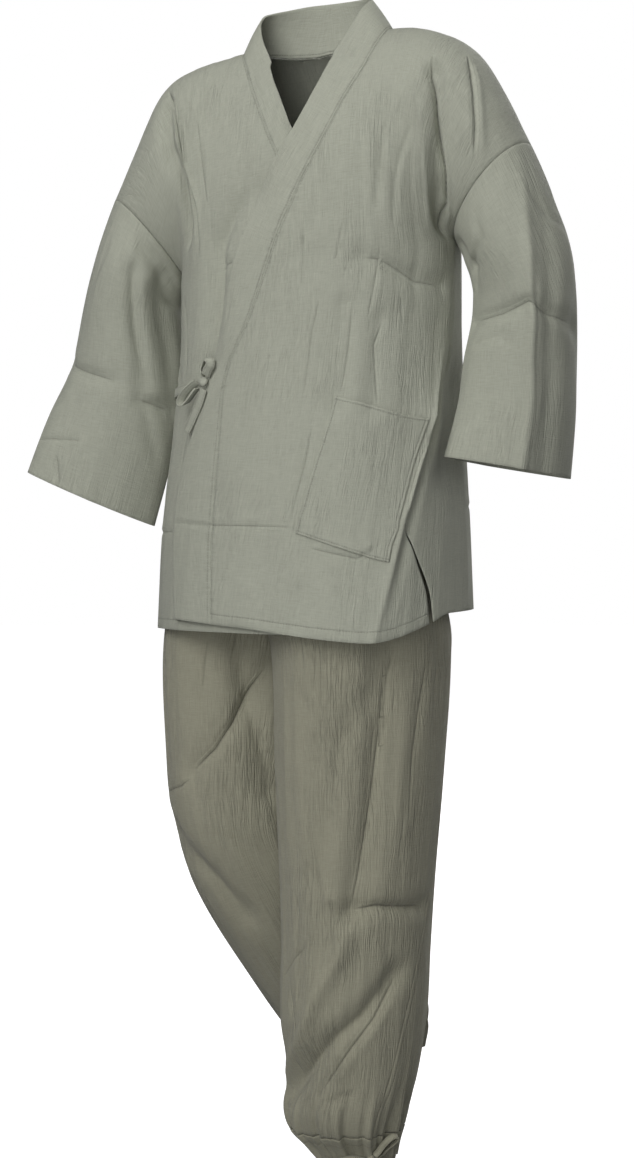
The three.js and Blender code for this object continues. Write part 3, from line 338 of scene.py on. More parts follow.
# Edges of the pocket: length, and their share of the way across the front.
GUIDES = [
    [-1, 0.283, 0.7], [-0.84, 0.33, 0.81], [-0.76, 0.375, 0.89], [-0.7, 0.42, 0.97], [-0.52, 0.443, 0.97],
    [-0.32, 0.45, 0.965], [0.1, 0.42, 0.92], [0.32, 0.39, 0.89], [3, 0.39, 0.89],
]
# Lengths of the body where the band is fitted: flat on the fronts, then round the neck.
BAND_LOW_ROWS = [
    -1, -0.92, -0.84, -0.76, -0.7, -0.61, -0.52, -0.42, -0.32, -0.22, -0.12, 0, 0.1, 0.21, 0.32, 0.43,
    0.54,
]
NECK_LENGTHS = [0.65, 0.77, 0.89, 1, 1.08, 1.15, 1.2, 1.23]
# Free edge of the band round the neck: step, x, y, z.
NECK_EDGE = [
    [0, 47, -71, -7], [1, 56, -42, 19], [2, 62, -14, 39], [3, 65, 14, 50], [4, 61, 32, 54],
    [5, 47, 47, 55], [6, 28, 58, 54], [7, 0, 64, 52], [8, -30, 58, 49], [9, -52, 46, 44],
    [10, -68, 30, 39], [11, -74, 10, 33], [12, -71, -18, 17], [13, -60, -48, -10], [14, -43, -74, -38],
]
NECK_STEPS = 2 * (len(NECK_LENGTHS) - 1)
BAND_STEPS = 2 * len(BAND_LOW_ROWS) + NECK_STEPS

# Finer creases that thin out at both ends: reach, height, lip, and a path of angle and row, step or
# height. The lip is its share of the height, and its sign says on which side of the path it lies.
BODY_CREASES = {
    1: [
        (3.8, 2.4, 0, [(81, -0.2), (69.5, -0.45), (59.3, -0.7), (52.8, -0.99)]),
        (8, -4.5, 0, [(84, -0.28), (73.5, -0.46), (63.3, -0.7), (57, -0.97)]),
        (5, -2.2, 0.35, [(28, -0.02), (36, -0.03), (48, -0.07), (57, -0.1), (74, -0.12)]),
        (8, -2.4, 0.3, [(44, 0.44), (39, 0.28), (36, 0.13), (32, 0.07)]),
        (6, -1.8, 0.3, [(59, 0.43), (50, 0.28), (46, 0.18), (43, 0.02)]),
        (4, -1.3, 0.3, [(21, 0.08), (18, -0.02)]),
        (4.5, -1.5, 0.3, [(13, -0.11), (11, -0.21), (11, -0.38)]),
        (4, -1.6, -0.3, [(26, -0.13), (26, -0.28), (25, -0.37)]),
        (3.5, -1.4, 0.3, [(36, -0.04), (33, -0.18)]),
        (4, -1.7, 0.3, [(40, -0.19), (37, -0.25), (39, -0.32), (42, -0.41)]),
        (3.5, -1.2, 0.3, [(48, -0.13), (50, -0.2)]),
        (4, -1.2, 0.3, [(6, 0.08), (6, -0.08)]),
        (4.5, -1.7, 0.35, [(16, -0.45), (16, -0.54), (15, -0.64), (15, -0.71)]),
        (4.5, -1.8, 0.4, [(23, -0.77), (42, -0.79), (52, -0.75)]),
        (3.4, -1.5, 0.45, [(-38, -0.72), (-10, -0.725), (18, -0.72)]),
        (7, -1.6, 0.3, [(12, 0.14), (6, 0.05), (0, -0.03)]),
        (4.2, -10, 0.5, [(59, 0.72), (61, 0.61), (74, 0.45), (81, 0.33), (84, 0.2), (79, 0.0)]),
        (3.8, -4.5, 0.5, [(72, 0.84), (77, 0.77), (84, 0.62), (87, 0.53)]),
        (9, 3, 0, [(52, 0.6), (64, 0.4), (69, 0.22), (66, 0.0)]),
        (6, -1.5, 0.3, [(84, 0.7), (74, 0.62), (66, 0.5)]),
        (9, 2.4, 0, [(78, 0.76), (86, 0.54)]),
        (12, 3, 0, [(4, -0.84), (2, -1.02)]),
        (12, -3, 0.2, [(22, -0.84), (24, -1.02)]),
        (9, -2.4, 0.3, [(150, 0.62), (140, 0.3), (128, 0.08)]),
        (8, -2.2, 0.3, [(124, 0.52), (113, 0.3), (109, 0.02)]),
        (10, -2.2, -0.3, [(166, -0.05), (160, -0.42)]),
        (9, -2.4, 0.3, [(130, -0.26), (137, -0.64)]),
        (7, -1.8, 0.4, [(176, 0.47), (150, 0.42), (120, 0.45)]),
        (7, -1.8, 0.3, [(104, -0.2), (112, -0.6)]),
        (3.4, -1.4, 0.45, [(98, -0.72), (178, -0.72)]),
    ],
    -1: [
        (13, -5, 0.3, [(-14, 0.22), (-24, 0.16), (-31, 0.06), (-30, -0.13), (-29, -0.28)]),
        (7, -3, 0.3, [(-10, 0.22), (-18, 0.21), (-24, 0.16), (-30, 0.09), (-29, -0.02), (-30, -0.13),
                      (-29, -0.24)]),
        (5, -2, 0.3, [(-31, 0.01), (-24, 0.02), (-19, 0.02)]),
        (4.2, -10, 0.5, [(-67, 0.8), (-66, 0.66), (-63, 0.48), (-61, 0.36), (-48, 0.2), (-43, 0.05)]),
        (6, -2, 0.3, [(-69, 0.62), (-75, 0.62), (-75, 0.52), (-66, 0.39)]),
        (5, -1.5, 0.3, [(-50, 0.52), (-44, 0.32), (-38, 0.2)]),
        (6, -2.2, -0.3, [(-86, -0.1), (-66, -0.24), (-50, -0.31)]),
        (5, -1.8, 0.3, [(-60, -0.02), (-52, -0.18), (-48, -0.3)]),
        (5, -1.2, 0.3, [(-8, 0.11), (-14, -0.01)]),
        (4, -1.4, 0.3, [(-38, -0.36), (-40, -0.5), (-38, -0.66)]),
        (5, -1.8, 0.35, [(-64, -0.4), (-60, -0.6), (-62, -0.8)]),
        (3.4, -1.4, 0.45, [(-80, -0.72), (-20, -0.72)]),
        (9, -2.4, 0.3, [(-148, 0.6), (-138, 0.32), (-130, 0.06)]),
        (8, -2.2, -0.3, [(-124, 0.5), (-114, 0.28), (-110, 0.04)]),
        (10, -2.4, 0.3, [(-164, -0.1), (-158, -0.5)]),
        (9, -2.2, 0.3, [(-132, -0.3), (-140, -0.7)]),
        (7, -1.8, 0.4, [(-176, 0.45), (-150, 0.4), (-122, 0.43)]),
        (7, -2, 0.3, [(-106, -0.24), (-116, -0.62)]),
        (3.4, -1.4, 0.45, [(-178, -0.72), (-98, -0.72)]),
    ],
}
SLEEVE_CREASES_LEFT = [
    (8, 6, 0, [(150, -0.2), (115, 1.3), (82, 2.8), (82, 4.3), (79, 5.3), (80, 8)]),
    (14, -5, 0, [(160, 0.4), (132, 1.6), (112, 3), (112, 4.4), (110, 7.6)]),
    (5, -2.3, 0.4, [(10, 3.26), (46, 3.14), (78, 2.93), (111, 3.22), (151, 3.43)]),
    (6, -3.6, 0.4, [(76, 0.26), (60, 1.05), (30, 1.5), (10, 3.02)]),
    (6, -2, 0.3, [(12, 3.69), (48, 3.53), (64, 3.79)]),
    (7, -1.8, 0.3, [(19, 5.67), (47, 4.46)]),
    (6, -1.8, 0.3, [(130, 0.6), (150, 1.3), (178, 1.7)]),
    (7, -2.2, 0.3, [(200, 0.5), (190, 2)]),
    (6, -2, 0.4, [(230, 3.4), (330, 3.2)]),
    (8, -2.2, 0.3, [(262, 1), (250, 2.6)]),
    (7, -2, 0.3, [(292, 3.9), (300, 5.2)]),
]
SLEEVE_CREASES_RIGHT = [
    (7, -2.6, 0.3, [(78, 0.25), (46, 0.25), (14, 0.61)]),
    (7, -4.5, 0.4, [(83, 0.47), (69, 1.63), (63, 2.6), (59, 3.13)]),
    (17, -7, 0.1, [(52, 0.3), (36, 1.2), (28, 2.4), (26, 3.8)]),
    (4.5, -2, 0.4, [(168, 2.9), (91, 3.15)]),
    (4.5, -2.2, 0.4, [(61, 3.44), (26, 3.54)]),
    (4, -1.4, 0.4, [(178, 4.44), (111, 4.21)]),
    (5, -1.8, 0.3, [(133, 4.55), (122, 4.96)]),
    (7, -2.2, 0.3, [(61, 3.47), (44, 3.99), (28, 4.32)]),
    (6, -1.6, 0.3, [(120, 0.5), (132, 1.4), (150, 2.2)]),
    (7, -2.2, 0.3, [(205, 0.6), (196, 2)]),
    (6, -2, 0.4, [(232, 3.3), (328, 3.1)]),
    (8, -2, 0.3, [(268, 0.9), (256, 2.4)]),
    (7, -1.8, 0.3, [(290, 3.5), (298, 4.6)]),
]
LEG_CREASES = {
    1: [
        (5, -3, 0.4, [(77, -767), (75, -840), (69, -938), (60, -1037), (54, -1085)]),
        (9, -2, 0.3, [(62, -815), (47, -875), (38, -963), (29, -1038)]),
        (4, -1.7, 0.3, [(83, -755), (79, -792), (77, -867)]),
        (4.5, -1.8, 0.3, [(107, -755), (102, -819), (97, -892), (96, -982)]),
        (4.2, -3.4, 0.5, [(56, -1081), (74, -1076), (117, -1083)]),
        (7, 2.4, 0, [(29, -1066), (43, -1064), (52, -1081)]),
        (8, 2.4, 0, [(56, -1085), (46, -1134), (30, -1187), (12, -1248), (-27, -1305)]),
        (6, -3.4, 0.4, [(88, -1169), (67, -1216), (46, -1244), (15, -1291), (-9, -1321)]),
        (5, -2.8, 0.4, [(95, -1167), (75, -1222), (53, -1266), (30, -1314)]),
        (5, -1.6, 0.3, [(-13, -1171), (2, -1149), (17, -1128)]),
        (5, -1.6, 0.3, [(0, -1181), (11, -1236)]),
        (6, -1.8, 0.3, [(35, -1332), (49, -1319), (64, -1316)]),
        (5, -1.5, 0.3, [(-30, -800), (-34, -900), (-30, -1000)]),
        (7, -2.2, 0.3, [(166, -800), (172, -900), (168, -1000)]),
        (6, -2.2, 0.4, [(150, -1080), (200, -1072), (236, -1086)]),
        (8, -2.4, 0.3, [(216, -840), (222, -940)]),
        (8, -2.6, 0.3, [(236, -1130), (206, -1200), (178, -1280)]),
    ],
    -1: [
        (4.2, -4.4, 0.55, [(-69, -792), (-60, -824), (-49, -863), (-37, -893), (-18, -920)]),
        (3.6, -2.6, 0.4, [(26, -949), (-5, -937), (-16, -928)]),
        (6, -2, 0.3, [(-49, -757), (-54, -788), (-58, -832), (-66, -880), (-76, -941)]),
        (5, -1.6, 0.3, [(-32, -764), (-30, -823)]),
        (8, -3, 0.3, [(3, -1004), (-19, -1034), (-30, -1071)]),
        (7, -2.2, 0.3, [(-43, -970), (-52, -1007), (-64, -1051)]),
        (5, -1.5, 0.3, [(30, -800), (26, -900)]),
        (7, -2.2, 0.3, [(166, -800), (174, -900), (170, -980)]),
        (7, -2.4, 0.4, [(120, -1010), (170, -1016), (220, -1000)]),
        (8, -2.4, 0.3, [(140, -1060), (180, -1120), (214, -1200)]),
        (7, -2, 0.3, [(216, -820), (222, -940)]),
        (7, -2.2, 0.3, [(70, -1080), (88, -1180), (84, -1270)]),
    ],
}

# Soft ripples: seed, number, corners of the flat box they lie in, half widths, half lengths, heights, tilt.
BODY_RIPPLES = {
    1: (11, 190, (-100, -460), (590, 310), (4, 11), (30, 110), (0.25, 0.85), 0.1),
    -1: (12, 190, (-590, -460), (110, 310), (4, 11), (30, 110), (0.25, 0.85), 0.1),
}
SLEEVE_RIPPLES = {
    1: (13, 70, (0, 10), (440, 372), (5, 11), (26, 80), (0.3, 0.9), 0.35),
    -1: (14, 70, (0, 10), (440, 320), (5, 11), (26, 80), (0.3, 0.9), 0.35),
}
LEG_RIPPLES = {
    1: (15, 240, (-150, -1400), (470, -700), (3.5, 9), (45, 170), (0.3, 1.05), 0.06),
    -1: (16, 240, (-150, -1320), (470, -700), (3.5, 9), (45, 170), (0.3, 1.05), 0.06),
}

# Paths of the ties and tapes: lean of the tape, then right, up and out from the knot.
TIE_PATHS = {
    "tie_loop_upper": (20, [(-2.9, 7.9, 7), (-8, 17, 9), (-6, 27, 10), (2, 32, 10), (11, 29, 10), (13, 21, 9),
                            (9, 14.5, 9), (4.7, 7.4, 7)]),
    "tie_loop_lower": (20, [(-9.8, 0.2, 7), (-17, -5, 9), (-25, -13, 11), (-30, -22, 11), (-26, -28, 11),
                            (-17, -24, 10), (-10, -15, 9), (-5.8, -8.2, 7.4)]),
    "tie_end": (80, [(3.6, -9.2, 3.8), (1, -22, 3), (-6, -37, 2.4), (-13, -52, 2.2), (-20, -65, 2.2)]),
}
SIDE_TIE_PATH = [(270, 0, 2), (230, 1, 2), (190, 2, 2), (150, 3, 2.4), (126, 3, 4)]
LACE_PATHS = {
    "loop_outer": (25, [(3.9, 4, 4.6), (14, 14, 6), (24, 24, 7), (32, 29, 7), (36, 24, 7), (29, 13, 6),
                        (19, 5, 6), (6.6, 0, 4.6)]),
    "loop_inner": (25, [(-5.2, 1.4, 4.6), (-20, 5, 6), (-36, 3, 6), (-50, -2, 6), (-54, -8, 6), (-44, -10, 6),
                        (-28, -7, 6), (-4.8, -3, 4.6)]),
    "lace_end": (75, [(1.9, -4.8, 3), (7, -12, 2.6), (12, -18, 2.4), (15, -24, 2.4)]),
}


def ease(low, high, t):
    s = np.clip((t - low) / (high - low), 0, 1)
    return s * s * (3 - 2 * s)


def span(low, high, share):
    return low + (high - low) * share


def row_at(table, key):
    """Columns of a table at a key, on a smooth curve through its rows."""
    rows = np.asarray(table, float)
    keys, columns = rows[:, 0], rows[:, 1:]
    last = len(keys) - 1
    key = np.clip(np.asarray(key, float), keys[0], keys[-1])
    i = np.clip(np.searchsorted(keys, key, side="right") - 1, 0, last - 1)
    before, after = np.maximum(i - 1, 0), np.minimum(i + 2, last)
    step = (keys[i + 1] - keys[i])[..., None]
    s = (key - keys[i])[..., None] / step
    a, b = columns[i], columns[i + 1]
    slope_a = (b - columns[before]) / (keys[i + 1] - keys[before])[..., None]
    slope_b = (columns[after] - a) / (keys[after] - keys[i])[..., None]
    curve = a * (1 - s) ** 2 * (1 + 2 * s) + b * s * s * (3 - 2 * s)
    curve = curve + step * slope_a * s * (1 - s) ** 2 - step * slope_b * s * s * (1 - s)
    return np.moveaxis(curve, -1, 0)


def point(x, y, z):
    return np.stack(np.broadcast_arrays(x, y, z), -1).astype(float)


def unit(v):
    return v / np.linalg.norm(v, axis=-1, keepdims=True)


def sin(angle):
    return np.sin(np.radians(angle))


def cos(angle):
    return np.cos(np.radians(angle))


def power(v, squareness):
    return np.sign(v) * np.abs(v) ** (2 / squareness)


def facing(surface, a, b, step_a, step_b, hand):
    along = surface(a + step_a, b) - surface(a - step_a, b)
    up = surface(a, b + step_b) - surface(a, b - step_b)
    return unit(np.cross(along, up) * hand)


def away_from(path, to_flat, p, q):
    """Distance from a path in flat millimetres, its side, and the share of the path passed."""
    corners = [to_flat(np.float64(a), np.float64(b)) for a, b in path]
    lengths = [math.hypot(x1 - x0, y1 - y0) for (x0, y0), (x1, y1) in zip(corners, corners[1:])]
    nearest = np.full(np.shape(p), np.inf)
    side, share = np.zeros(np.shape(p)), np.zeros(np.shape(p))
    done = 0.0
    for (x0, y0), (x1, y1), length in zip(corners, corners[1:], lengths):
        ux, uy = (x1 - x0) / length, (y1 - y0) / length
        s = np.clip((p - x0) * ux + (q - y0) * uy, 0, length)
        d = np.hypot(p - x0 - s * ux, q - y0 - s * uy)
        closer = d < nearest
        nearest = np.where(closer, d, nearest)
        side = np.where(closer, np.sign(ux * (q - y0) - uy * (p - x0)), side)
        share = np.where(closer, (done + s) / sum(lengths), share)
        done += length
    return nearest, side, share


def fold_height(folds, to_flat, a, b):
    """Folds of the solids: reach, height, kind, path."""
    p, q = np.broadcast_arrays(*to_flat(a, b))
    total = np.zeros(p.shape)
    for reach, height, kind, path in folds:
        away = away_from(path, to_flat, p, q)[0] / reach
        total += height * (np.exp(-away) if kind == "sharp" else np.exp(-away * away))
    return total


def crease_height(creases, to_flat, a, b):
    """Creases that thin out at both ends: reach, height, lip, path."""
    p, q = np.broadcast_arrays(*to_flat(a, b))
    total = np.zeros(p.shape)
    for reach, height, lip, path in creases:
        d, side, share = away_from(path, to_flat, p, q)
        taper = ease(-0.02, 0.3, share) * ease(1.02, 0.7, share)
        away = d / reach
        beside = (d * side * (1 if lip >= 0 else -1) - LIP_AWAY * reach) / (LIP_WIDTH * reach)
        total += height * taper * (np.exp(-away * away) - abs(lip) * np.exp(-beside * beside))
    return total


def pressed_lines_and_shade(creases, to_flat, a, b):
    """The sharp line at the bottom of each narrow crease, which the material sinks and darkens with painted
    shade: signed distance, and strength. The strength is divided by MM because cloth() brings both into
    metres."""
    p, q = np.broadcast_arrays(*to_flat(a, b))
    nearest = np.full(p.shape, np.inf)
    off, strength = np.zeros(p.shape), np.zeros(p.shape)
    for reach, height, _, path in creases:
        if reach > PRESSED_REACH or height > 0:
            continue
        d, side, share = away_from(path, to_flat, p, q)
        taper = ease(-0.01, 0.14, share) * ease(1.01, 0.86, share) * ease(9, 6, d)
        closer = d < nearest
        nearest = np.where(closer, d, nearest)
        off = np.where(closer, d * side, off)
        strength = np.where(closer, taper * min(1, -height / PRESSED_DEPTH), strength)
    return off, strength / MM


def ripple_height(ripples, p, q):
    """Long soft ripples: place across and along, half width, half length, tilt and height of each."""
    total = np.zeros(np.shape(p))
    for x, y, wide, long, tilt, height in ripples:
        across, along = (p - x - tilt * (q - y)) / wide, (q - y) / long
        close = (np.abs(across) < RIPPLE_END) & (np.abs(along) < RIPPLE_END)
        total[close] += height * np.exp(-across[close] ** 2 - along[close] ** 2)
    return total


def ripples_over(seed, number, low, high, wide, long, height, tilt):
    """Uneven ripples over the flat box from low to high, mostly hollows. Sizes are (least, most)."""
    rng = np.random.default_rng(seed)
    draw = rng.uniform
    rows = []
    for _ in range(number):
        sign = 1 if draw() < RAISED_SHARE else -1
        rows.append((draw(low[0], high[0]), draw(low[1], high[1]), draw(*wide), draw(*long),
                     draw(-tilt, tilt), sign * draw(*height)))
    return rows


def armpit_level(angle):
    return ARMPIT_HEIGHT + ARMPIT_TILT * sin(angle)


def body_ring(angle, height):
    x, y, width, depth, squareness, turn = row_at(TORSO, height)
    a, b = width * power(sin(angle), squareness), depth * power(cos(angle), squareness)
    return point(x + a * cos(turn) + b * sin(turn), y + a * sin(turn) - b * cos(turn), height)


def shoulder_row(side, across):
    left, right = row_at(SHOULDER_LEFT, across), row_at(SHOULDER_RIGHT, across)
    return np.moveaxis(np.where(side > 0, left, right), 0, -1)


def sleeve_table(side):
    return SLEEVE_LEFT if side > 0 else SLEEVE_RIGHT


def table_ring(side, step, angle):
    x, y, z, width, depth, squareness, tilt, turn, lift = row_at(sleeve_table(side), step)
    outward = point(side * cos(tilt) * cos(turn), cos(tilt) * sin(turn), sin(tilt))
    forward = point(side * sin(turn) * cos(lift), -cos(turn) * cos(lift), sin(lift))
    p, q = -width * power(cos(angle), squareness), depth * power(sin(angle), squareness)
    return point(x, y, z) + outward * p[..., None] + forward * q[..., None]


def armhole(side, angle):
    low, high = body_ring(90 * side, armpit_level(90 * side)), shoulder_row(side, 1)
    depth, _, _, turn, lift = sleeve_table(side)[0][5:]
    forward = point(side * sin(turn) * cos(lift), -cos(turn) * cos(lift), sin(lift))
    share = np.asarray((1 - cos(angle)) / 2)[..., None]
    return low + (high - low) * share + forward * np.asarray(depth * sin(angle))[..., None]


def down_sleeve(side):
    chord = armhole(side, 180) - armhole(side, 0)
    front = armhole(side, 90) - armhole(side, 270)
    return unit(np.cross(front, chord) * -side)


def sleeve_plain(side, step, angle):
    join = np.asarray(1 - ease(0, 1, step))[..., None]
    return table_ring(side, step, angle) + (armhole(side, angle) - table_ring(side, 0, angle)) * join


def sleeve_flat(angle, step):
    return angle * SLEEVE_ANGLE_MM, step * SLEEVE_STEP_MM


def sleeve_point(side, angle, step):
    def plain(a, b):
        return sleeve_plain(side, b, a)

    cuff = sleeve_table(side)[-1][0]
    normal = facing(plain, angle, np.clip(step, 0.05, cuff - 0.05), 3, 0.05, -side)
    folds = SLEEVE_FOLDS_LEFT if side > 0 else SLEEVE_FOLDS_RIGHT
    creases = SLEEVE_CREASES_LEFT if side > 0 else SLEEVE_CREASES_RIGHT
    round_angle = np.mod(angle, 360)
    p, q = np.broadcast_arrays(*sleeve_flat(round_angle, step))
    height = fold_height(folds, sleeve_flat, round_angle, step) * ease(0, 0.6, step)
    height += crease_height(creases, sleeve_flat, round_angle, step) * ease(0.02, 0.25, step)
    seam = ease(0, 12, round_angle) * ease(360, 348, round_angle)
    height += ripple_height(ripple_rows["sleeve", side], p, q) * ease(0.05, 0.5, step) * seam
    gap = SLEEVE_GAP * (1 - ease(0, 1, step))
    return plain(angle, step) + normal * height[..., None] + down_sleeve(side) * np.asarray(gap)[..., None]


def torso(angle, row, hem):
    """Plain form of the jacket body. Row 1 is the shoulder line, 0 the armpit and -1 the hem."""
    level = armpit_level(angle)
    below = body_ring(angle, level - row * (hem - level))
    side = np.where(sin(angle) >= 0, 1, -1)
    turn = np.abs(np.degrees(np.arctan2(sin(angle), cos(angle))))
    across = 1 - np.abs(turn - 90) / 90
    up = np.clip(row, 0, 2)
    rise, swell = sin(up * 90), cos(up * 90)

    def roll(low, high):
        return point(
            low[..., 0] + (high[..., 0] - low[..., 0]) * rise,
            high[..., 1] + (low[..., 1] - high[..., 1]) * swell,
            low[..., 2] + (high[..., 2] - low[..., 2]) * rise,
        )

    body = roll(body_ring(angle, level), shoulder_row(side, across))
    edge = roll(body_ring(90 * side, armpit_level(90 * side)), shoulder_row(side, np.ones_like(across)))
    way = np.where(turn <= 90, 180 * up, -180 * up)
    arm = np.where((side > 0)[..., None], armhole(1, way), armhole(-1, way))
    above = body + (arm - edge) * ease(0.3, 1, across)[..., None]
    return np.where((row <= 0)[..., None], below, above)


def body_flat(angle, row):
    return angle * ANGLE_MM, row * np.where(np.asarray(row) < 0, ROW_MM_BELOW, ROW_MM_ABOVE)


def wrap_lift(angle, row):
    """How far the left front stands off the right one that it is wrapped over."""
    return WRAP_LIFT * (1 - ease(30, 58, angle)) * (1 - ease(0.3, 0.62, row))


def body_point(half, angle, row, over):
    angle, row, over = np.broadcast_arrays(np.asarray(angle, float), np.asarray(row, float), over)
    side = np.where(sin(angle) >= 0, 1, -1)
    hem = row_at(HEM_LEFT if half > 0 else HEM_RIGHT, angle)[0]
    near_arm = (row > 0) & (np.abs(np.abs(angle) - 90) < 0.5)
    inset = np.where(np.abs(angle) > 90, 0.5, -0.5)
    safe = np.where(near_arm, side * (90 + inset), angle)
    normal = facing(lambda a, b: torso(a, b, hem), safe, np.minimum(row, 0.985), 0.4, 0.01, 1)
    height = np.where(over, wrap_lift(angle, row), 0) + fold_height(BODY_FOLDS, body_flat, angle, row)
    height = height + crease_height(BODY_CREASES[half], body_flat, angle, row)
    p, q = body_flat(angle, row)
    height = height + ripple_height(ripple_rows["body", half], p, q) * ease(-0.08, 0.02, np.abs(row))
    return torso(angle, row, hem) + normal * height[..., None]


def body_half(side, out, length):
    """One half as a length of cloth: -1 is the front hem, 1 the shoulder and 3 the back hem. Out is the
    angle from the middle."""
    out, length = np.broadcast_arrays(np.asarray(out, float), np.asarray(length, float))
    back = length > 1
    row = np.where(back, 2 - length, length)
    around = np.where(row > 0, np.minimum(out, np.where(back, 90 - 1e-4, 90)), out)
    return body_point(side, side * np.where(back, 180 - around, around), row, (side > 0) & ~back)


def inner_edge(side, length):
    """Angle of the front seam, the neck and the middle back, from the middle outwards."""
    seam = side * row_at(FRONT_SEAM_LEFT if side > 0 else FRONT_SEAM_RIGHT, np.minimum(length, 1))[0]
    behind = NECK_ANGLE * np.sqrt(np.clip(1 - (np.maximum(length - 1, 0) / NECK_DROP) ** 2, 0, 1))
    return EDGE_TRIM + np.where(length <= 1, seam, behind)


def outer_edge(side, length):
    """Angle of the slit, the side seam and the armhole."""
    back = length > 1
    row = np.where(back, 2 - length, length)
    low = np.minimum(row, 0)
    seam = np.abs(row_at(SIDE_SEAM_LEFT if side > 0 else SIDE_SEAM_RIGHT, low)[0])
    front, rear = row_at(SLIT_LEFT if side > 0 else SLIT_RIGHT, low)
    edge = np.where(back, 180 - seam - np.abs(rear) - EDGE_TRIM, seam + front - EDGE_TRIM)
    return np.where(row >= 0, 90, edge)


def leg_table(side):
    return LEG_LEFT if side > 0 else LEG_RIGHT


def from_middle(side, at, turn):
    """Distance of points from the plane between the legs, and the way out from it."""
    sideways = point(side * cos(turn), side * sin(turn), 0.0)
    distance = (at[..., 0] - HIP_X) * sideways[..., 0] + (at[..., 1] - HIP_Y) * sideways[..., 1]
    return distance, sideways


def leg_plain(side, angle, height):
    x, y, width, depth, turn, pitch = row_at(leg_table(side), height)
    top = CASING[side][0]
    fade = 1 - ease(top, top + PLEAT_FADE, height)
    wave = PLEAT_DEPTH * cos(angle * ANKLE_PLEATS) * fade
    a, b = side * (width + wave) * sin(angle), (depth + wave) * cos(angle)
    at = point(
        x + a * cos(turn) + b * cos(pitch) * sin(turn),
        y + a * sin(turn) - b * cos(pitch) * cos(turn),
        height - b * sin(pitch),
    )
    distance, sideways = from_middle(side, at, np.where(height > CROTCH, turn, HIP_TURN))
    apart = span(LEGS_APART, SEAM_GAP, ease(CROTCH - 40, CROTCH + 10, height))
    return at + sideways * np.maximum(apart - distance, 0)[..., None]


def leg_flat(angle, height):
    return angle * LEG_ANGLE_MM, height


def gathers(angle):
    """Uneven small pleats drawn up by the ankle tape."""
    return 1.9 * sin(angle * 23 + 40 * sin(angle * 2)) + 1.2 * sin(angle * 37) + 0.9 * sin(angle * 9 + 20)


def leg_point(side, angle, height):
    angle, height = np.broadcast_arrays(np.asarray(angle, float), np.asarray(height, float))
    normal = facing(lambda a, b: leg_plain(side, a, b), angle, height, 2, 4, side)
    folds = LEG_FOLDS_LEFT if side > 0 else LEG_FOLDS_RIGHT
    lift = fold_height(folds, leg_flat, angle, height)
    lift = lift + crease_height(LEG_CREASES[side], leg_flat, angle, height)
    p, q = leg_flat(angle, height)
    inner = ease(6, 40, np.abs(angle + 90)) * ease(6, 40, np.abs(angle - 270))
    lift = lift + ripple_height(ripple_rows["leg", side], p, q) * inner
    top, foot = CASING[side]
    near_ankle = (1 - ease(top + 2, top + GATHER_FADE, height)) * ease(foot - 30, foot, height)
    lift = lift + gathers(angle) * near_ankle
    return leg_plain(side, angle, height) + normal * lift[..., None]


def along_rows(lengths, count):
    """Even rows in cloth millimetres between the given lengths, which are kept."""
    marks = np.asarray(lengths, float)
    steps = np.maximum(1, np.round(count * np.diff(marks) / (marks[-1] - marks[0]))).astype(int)
    parts = [np.linspace(a, b, n, endpoint=False) for a, b, n in zip(marks, marks[1:], steps)]
    return np.concatenate([*parts, marks[-1:]])


def cloth(name, outside, flat_uv, thick, inside, material, ring=False, pressed=None):
    """A sheet through a grid of points, given thickness inwards. flat_uv is the place of each point on the
    flat cloth, inside is a point behind the sheet's middle, and a ring closes on itself."""
    rows, columns = outside.shape[0] - 1, outside.shape[1] - 1
    bm = bmesh.new()
    bmesh.ops.create_grid(bm, x_segments=columns, y_segments=rows, size=0.5)
    mesh = bpy.data.meshes.new(name)
    bm.to_mesh(mesh)
    bm.free()
    plan = np.zeros(len(mesh.vertices) * 3, np.float32)
    mesh.vertices.foreach_get("co", plan)
    plan = plan.reshape(-1, 3)
    c = np.rint((plan[:, 0] + 0.5) * columns).astype(int)
    r = np.rint((plan[:, 1] + 0.5) * rows).astype(int)
    mesh.vertices.foreach_set("co", (outside[r, c] * MM).astype(np.float32).ravel())
    corner = np.zeros(len(mesh.loops), np.int32)
    mesh.loops.foreach_get("vertex_index", corner)
    arc_u = np.linalg.norm(np.diff(outside, axis=1), axis=2).mean(0)
    arc_v = np.linalg.norm(np.diff(outside, axis=0), axis=2).mean(1)
    edge_u, edge_v = np.concatenate([[0], np.cumsum(arc_u)]), np.concatenate([[0], np.cumsum(arc_v)])
    layers = {"grain": flat_uv, "edges": np.meshgrid(edge_u, edge_v)}
    if pressed is not None:
        layers["pressed"] = pressed
    for label, (u, v) in layers.items():
        layer = mesh.uv_layers.new(name=label)
        both = np.stack([u[r, c], v[r, c]], -1)[corner] * MM
        layer.data.foreach_set("uv", both.astype(np.float32).ravel())
    bm = bmesh.new()
    bm.from_mesh(mesh)
    if ring:
        bmesh.ops.remove_doubles(bm, verts=bm.verts, dist=1e-5)
    bm.normal_update()
    middle = Vector(outside[rows // 2, columns // 2] * MM)
    nearest = min(bm.faces, key=lambda f: (f.calc_center_median() - middle).length)
    if nearest.normal.dot(middle - Vector(np.asarray(inside, float) * MM)) < 0:
        bmesh.ops.reverse_faces(bm, faces=bm.faces)
    for face in bm.faces:
        face.smooth = True
    bm.to_mesh(mesh)
    bm.free()
    obj = bpy.data.objects.new(f"{name}_cloth", mesh)
    bpy.context.scene.collection.objects.link(obj)
    mesh.materials.append(material)
    wall = obj.modifiers.new("wall", "SOLIDIFY")
    wall.thickness = thick * MM
    wall.offset = -1
    rim = obj.modifiers.new("rim", "BEVEL")
    rim.width = RIM * MM
    rim.segments = 1
    rim.limit_method = "ANGLE"
    rim.angle_limit = math.radians(62)
    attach(obj, "root")
    return obj


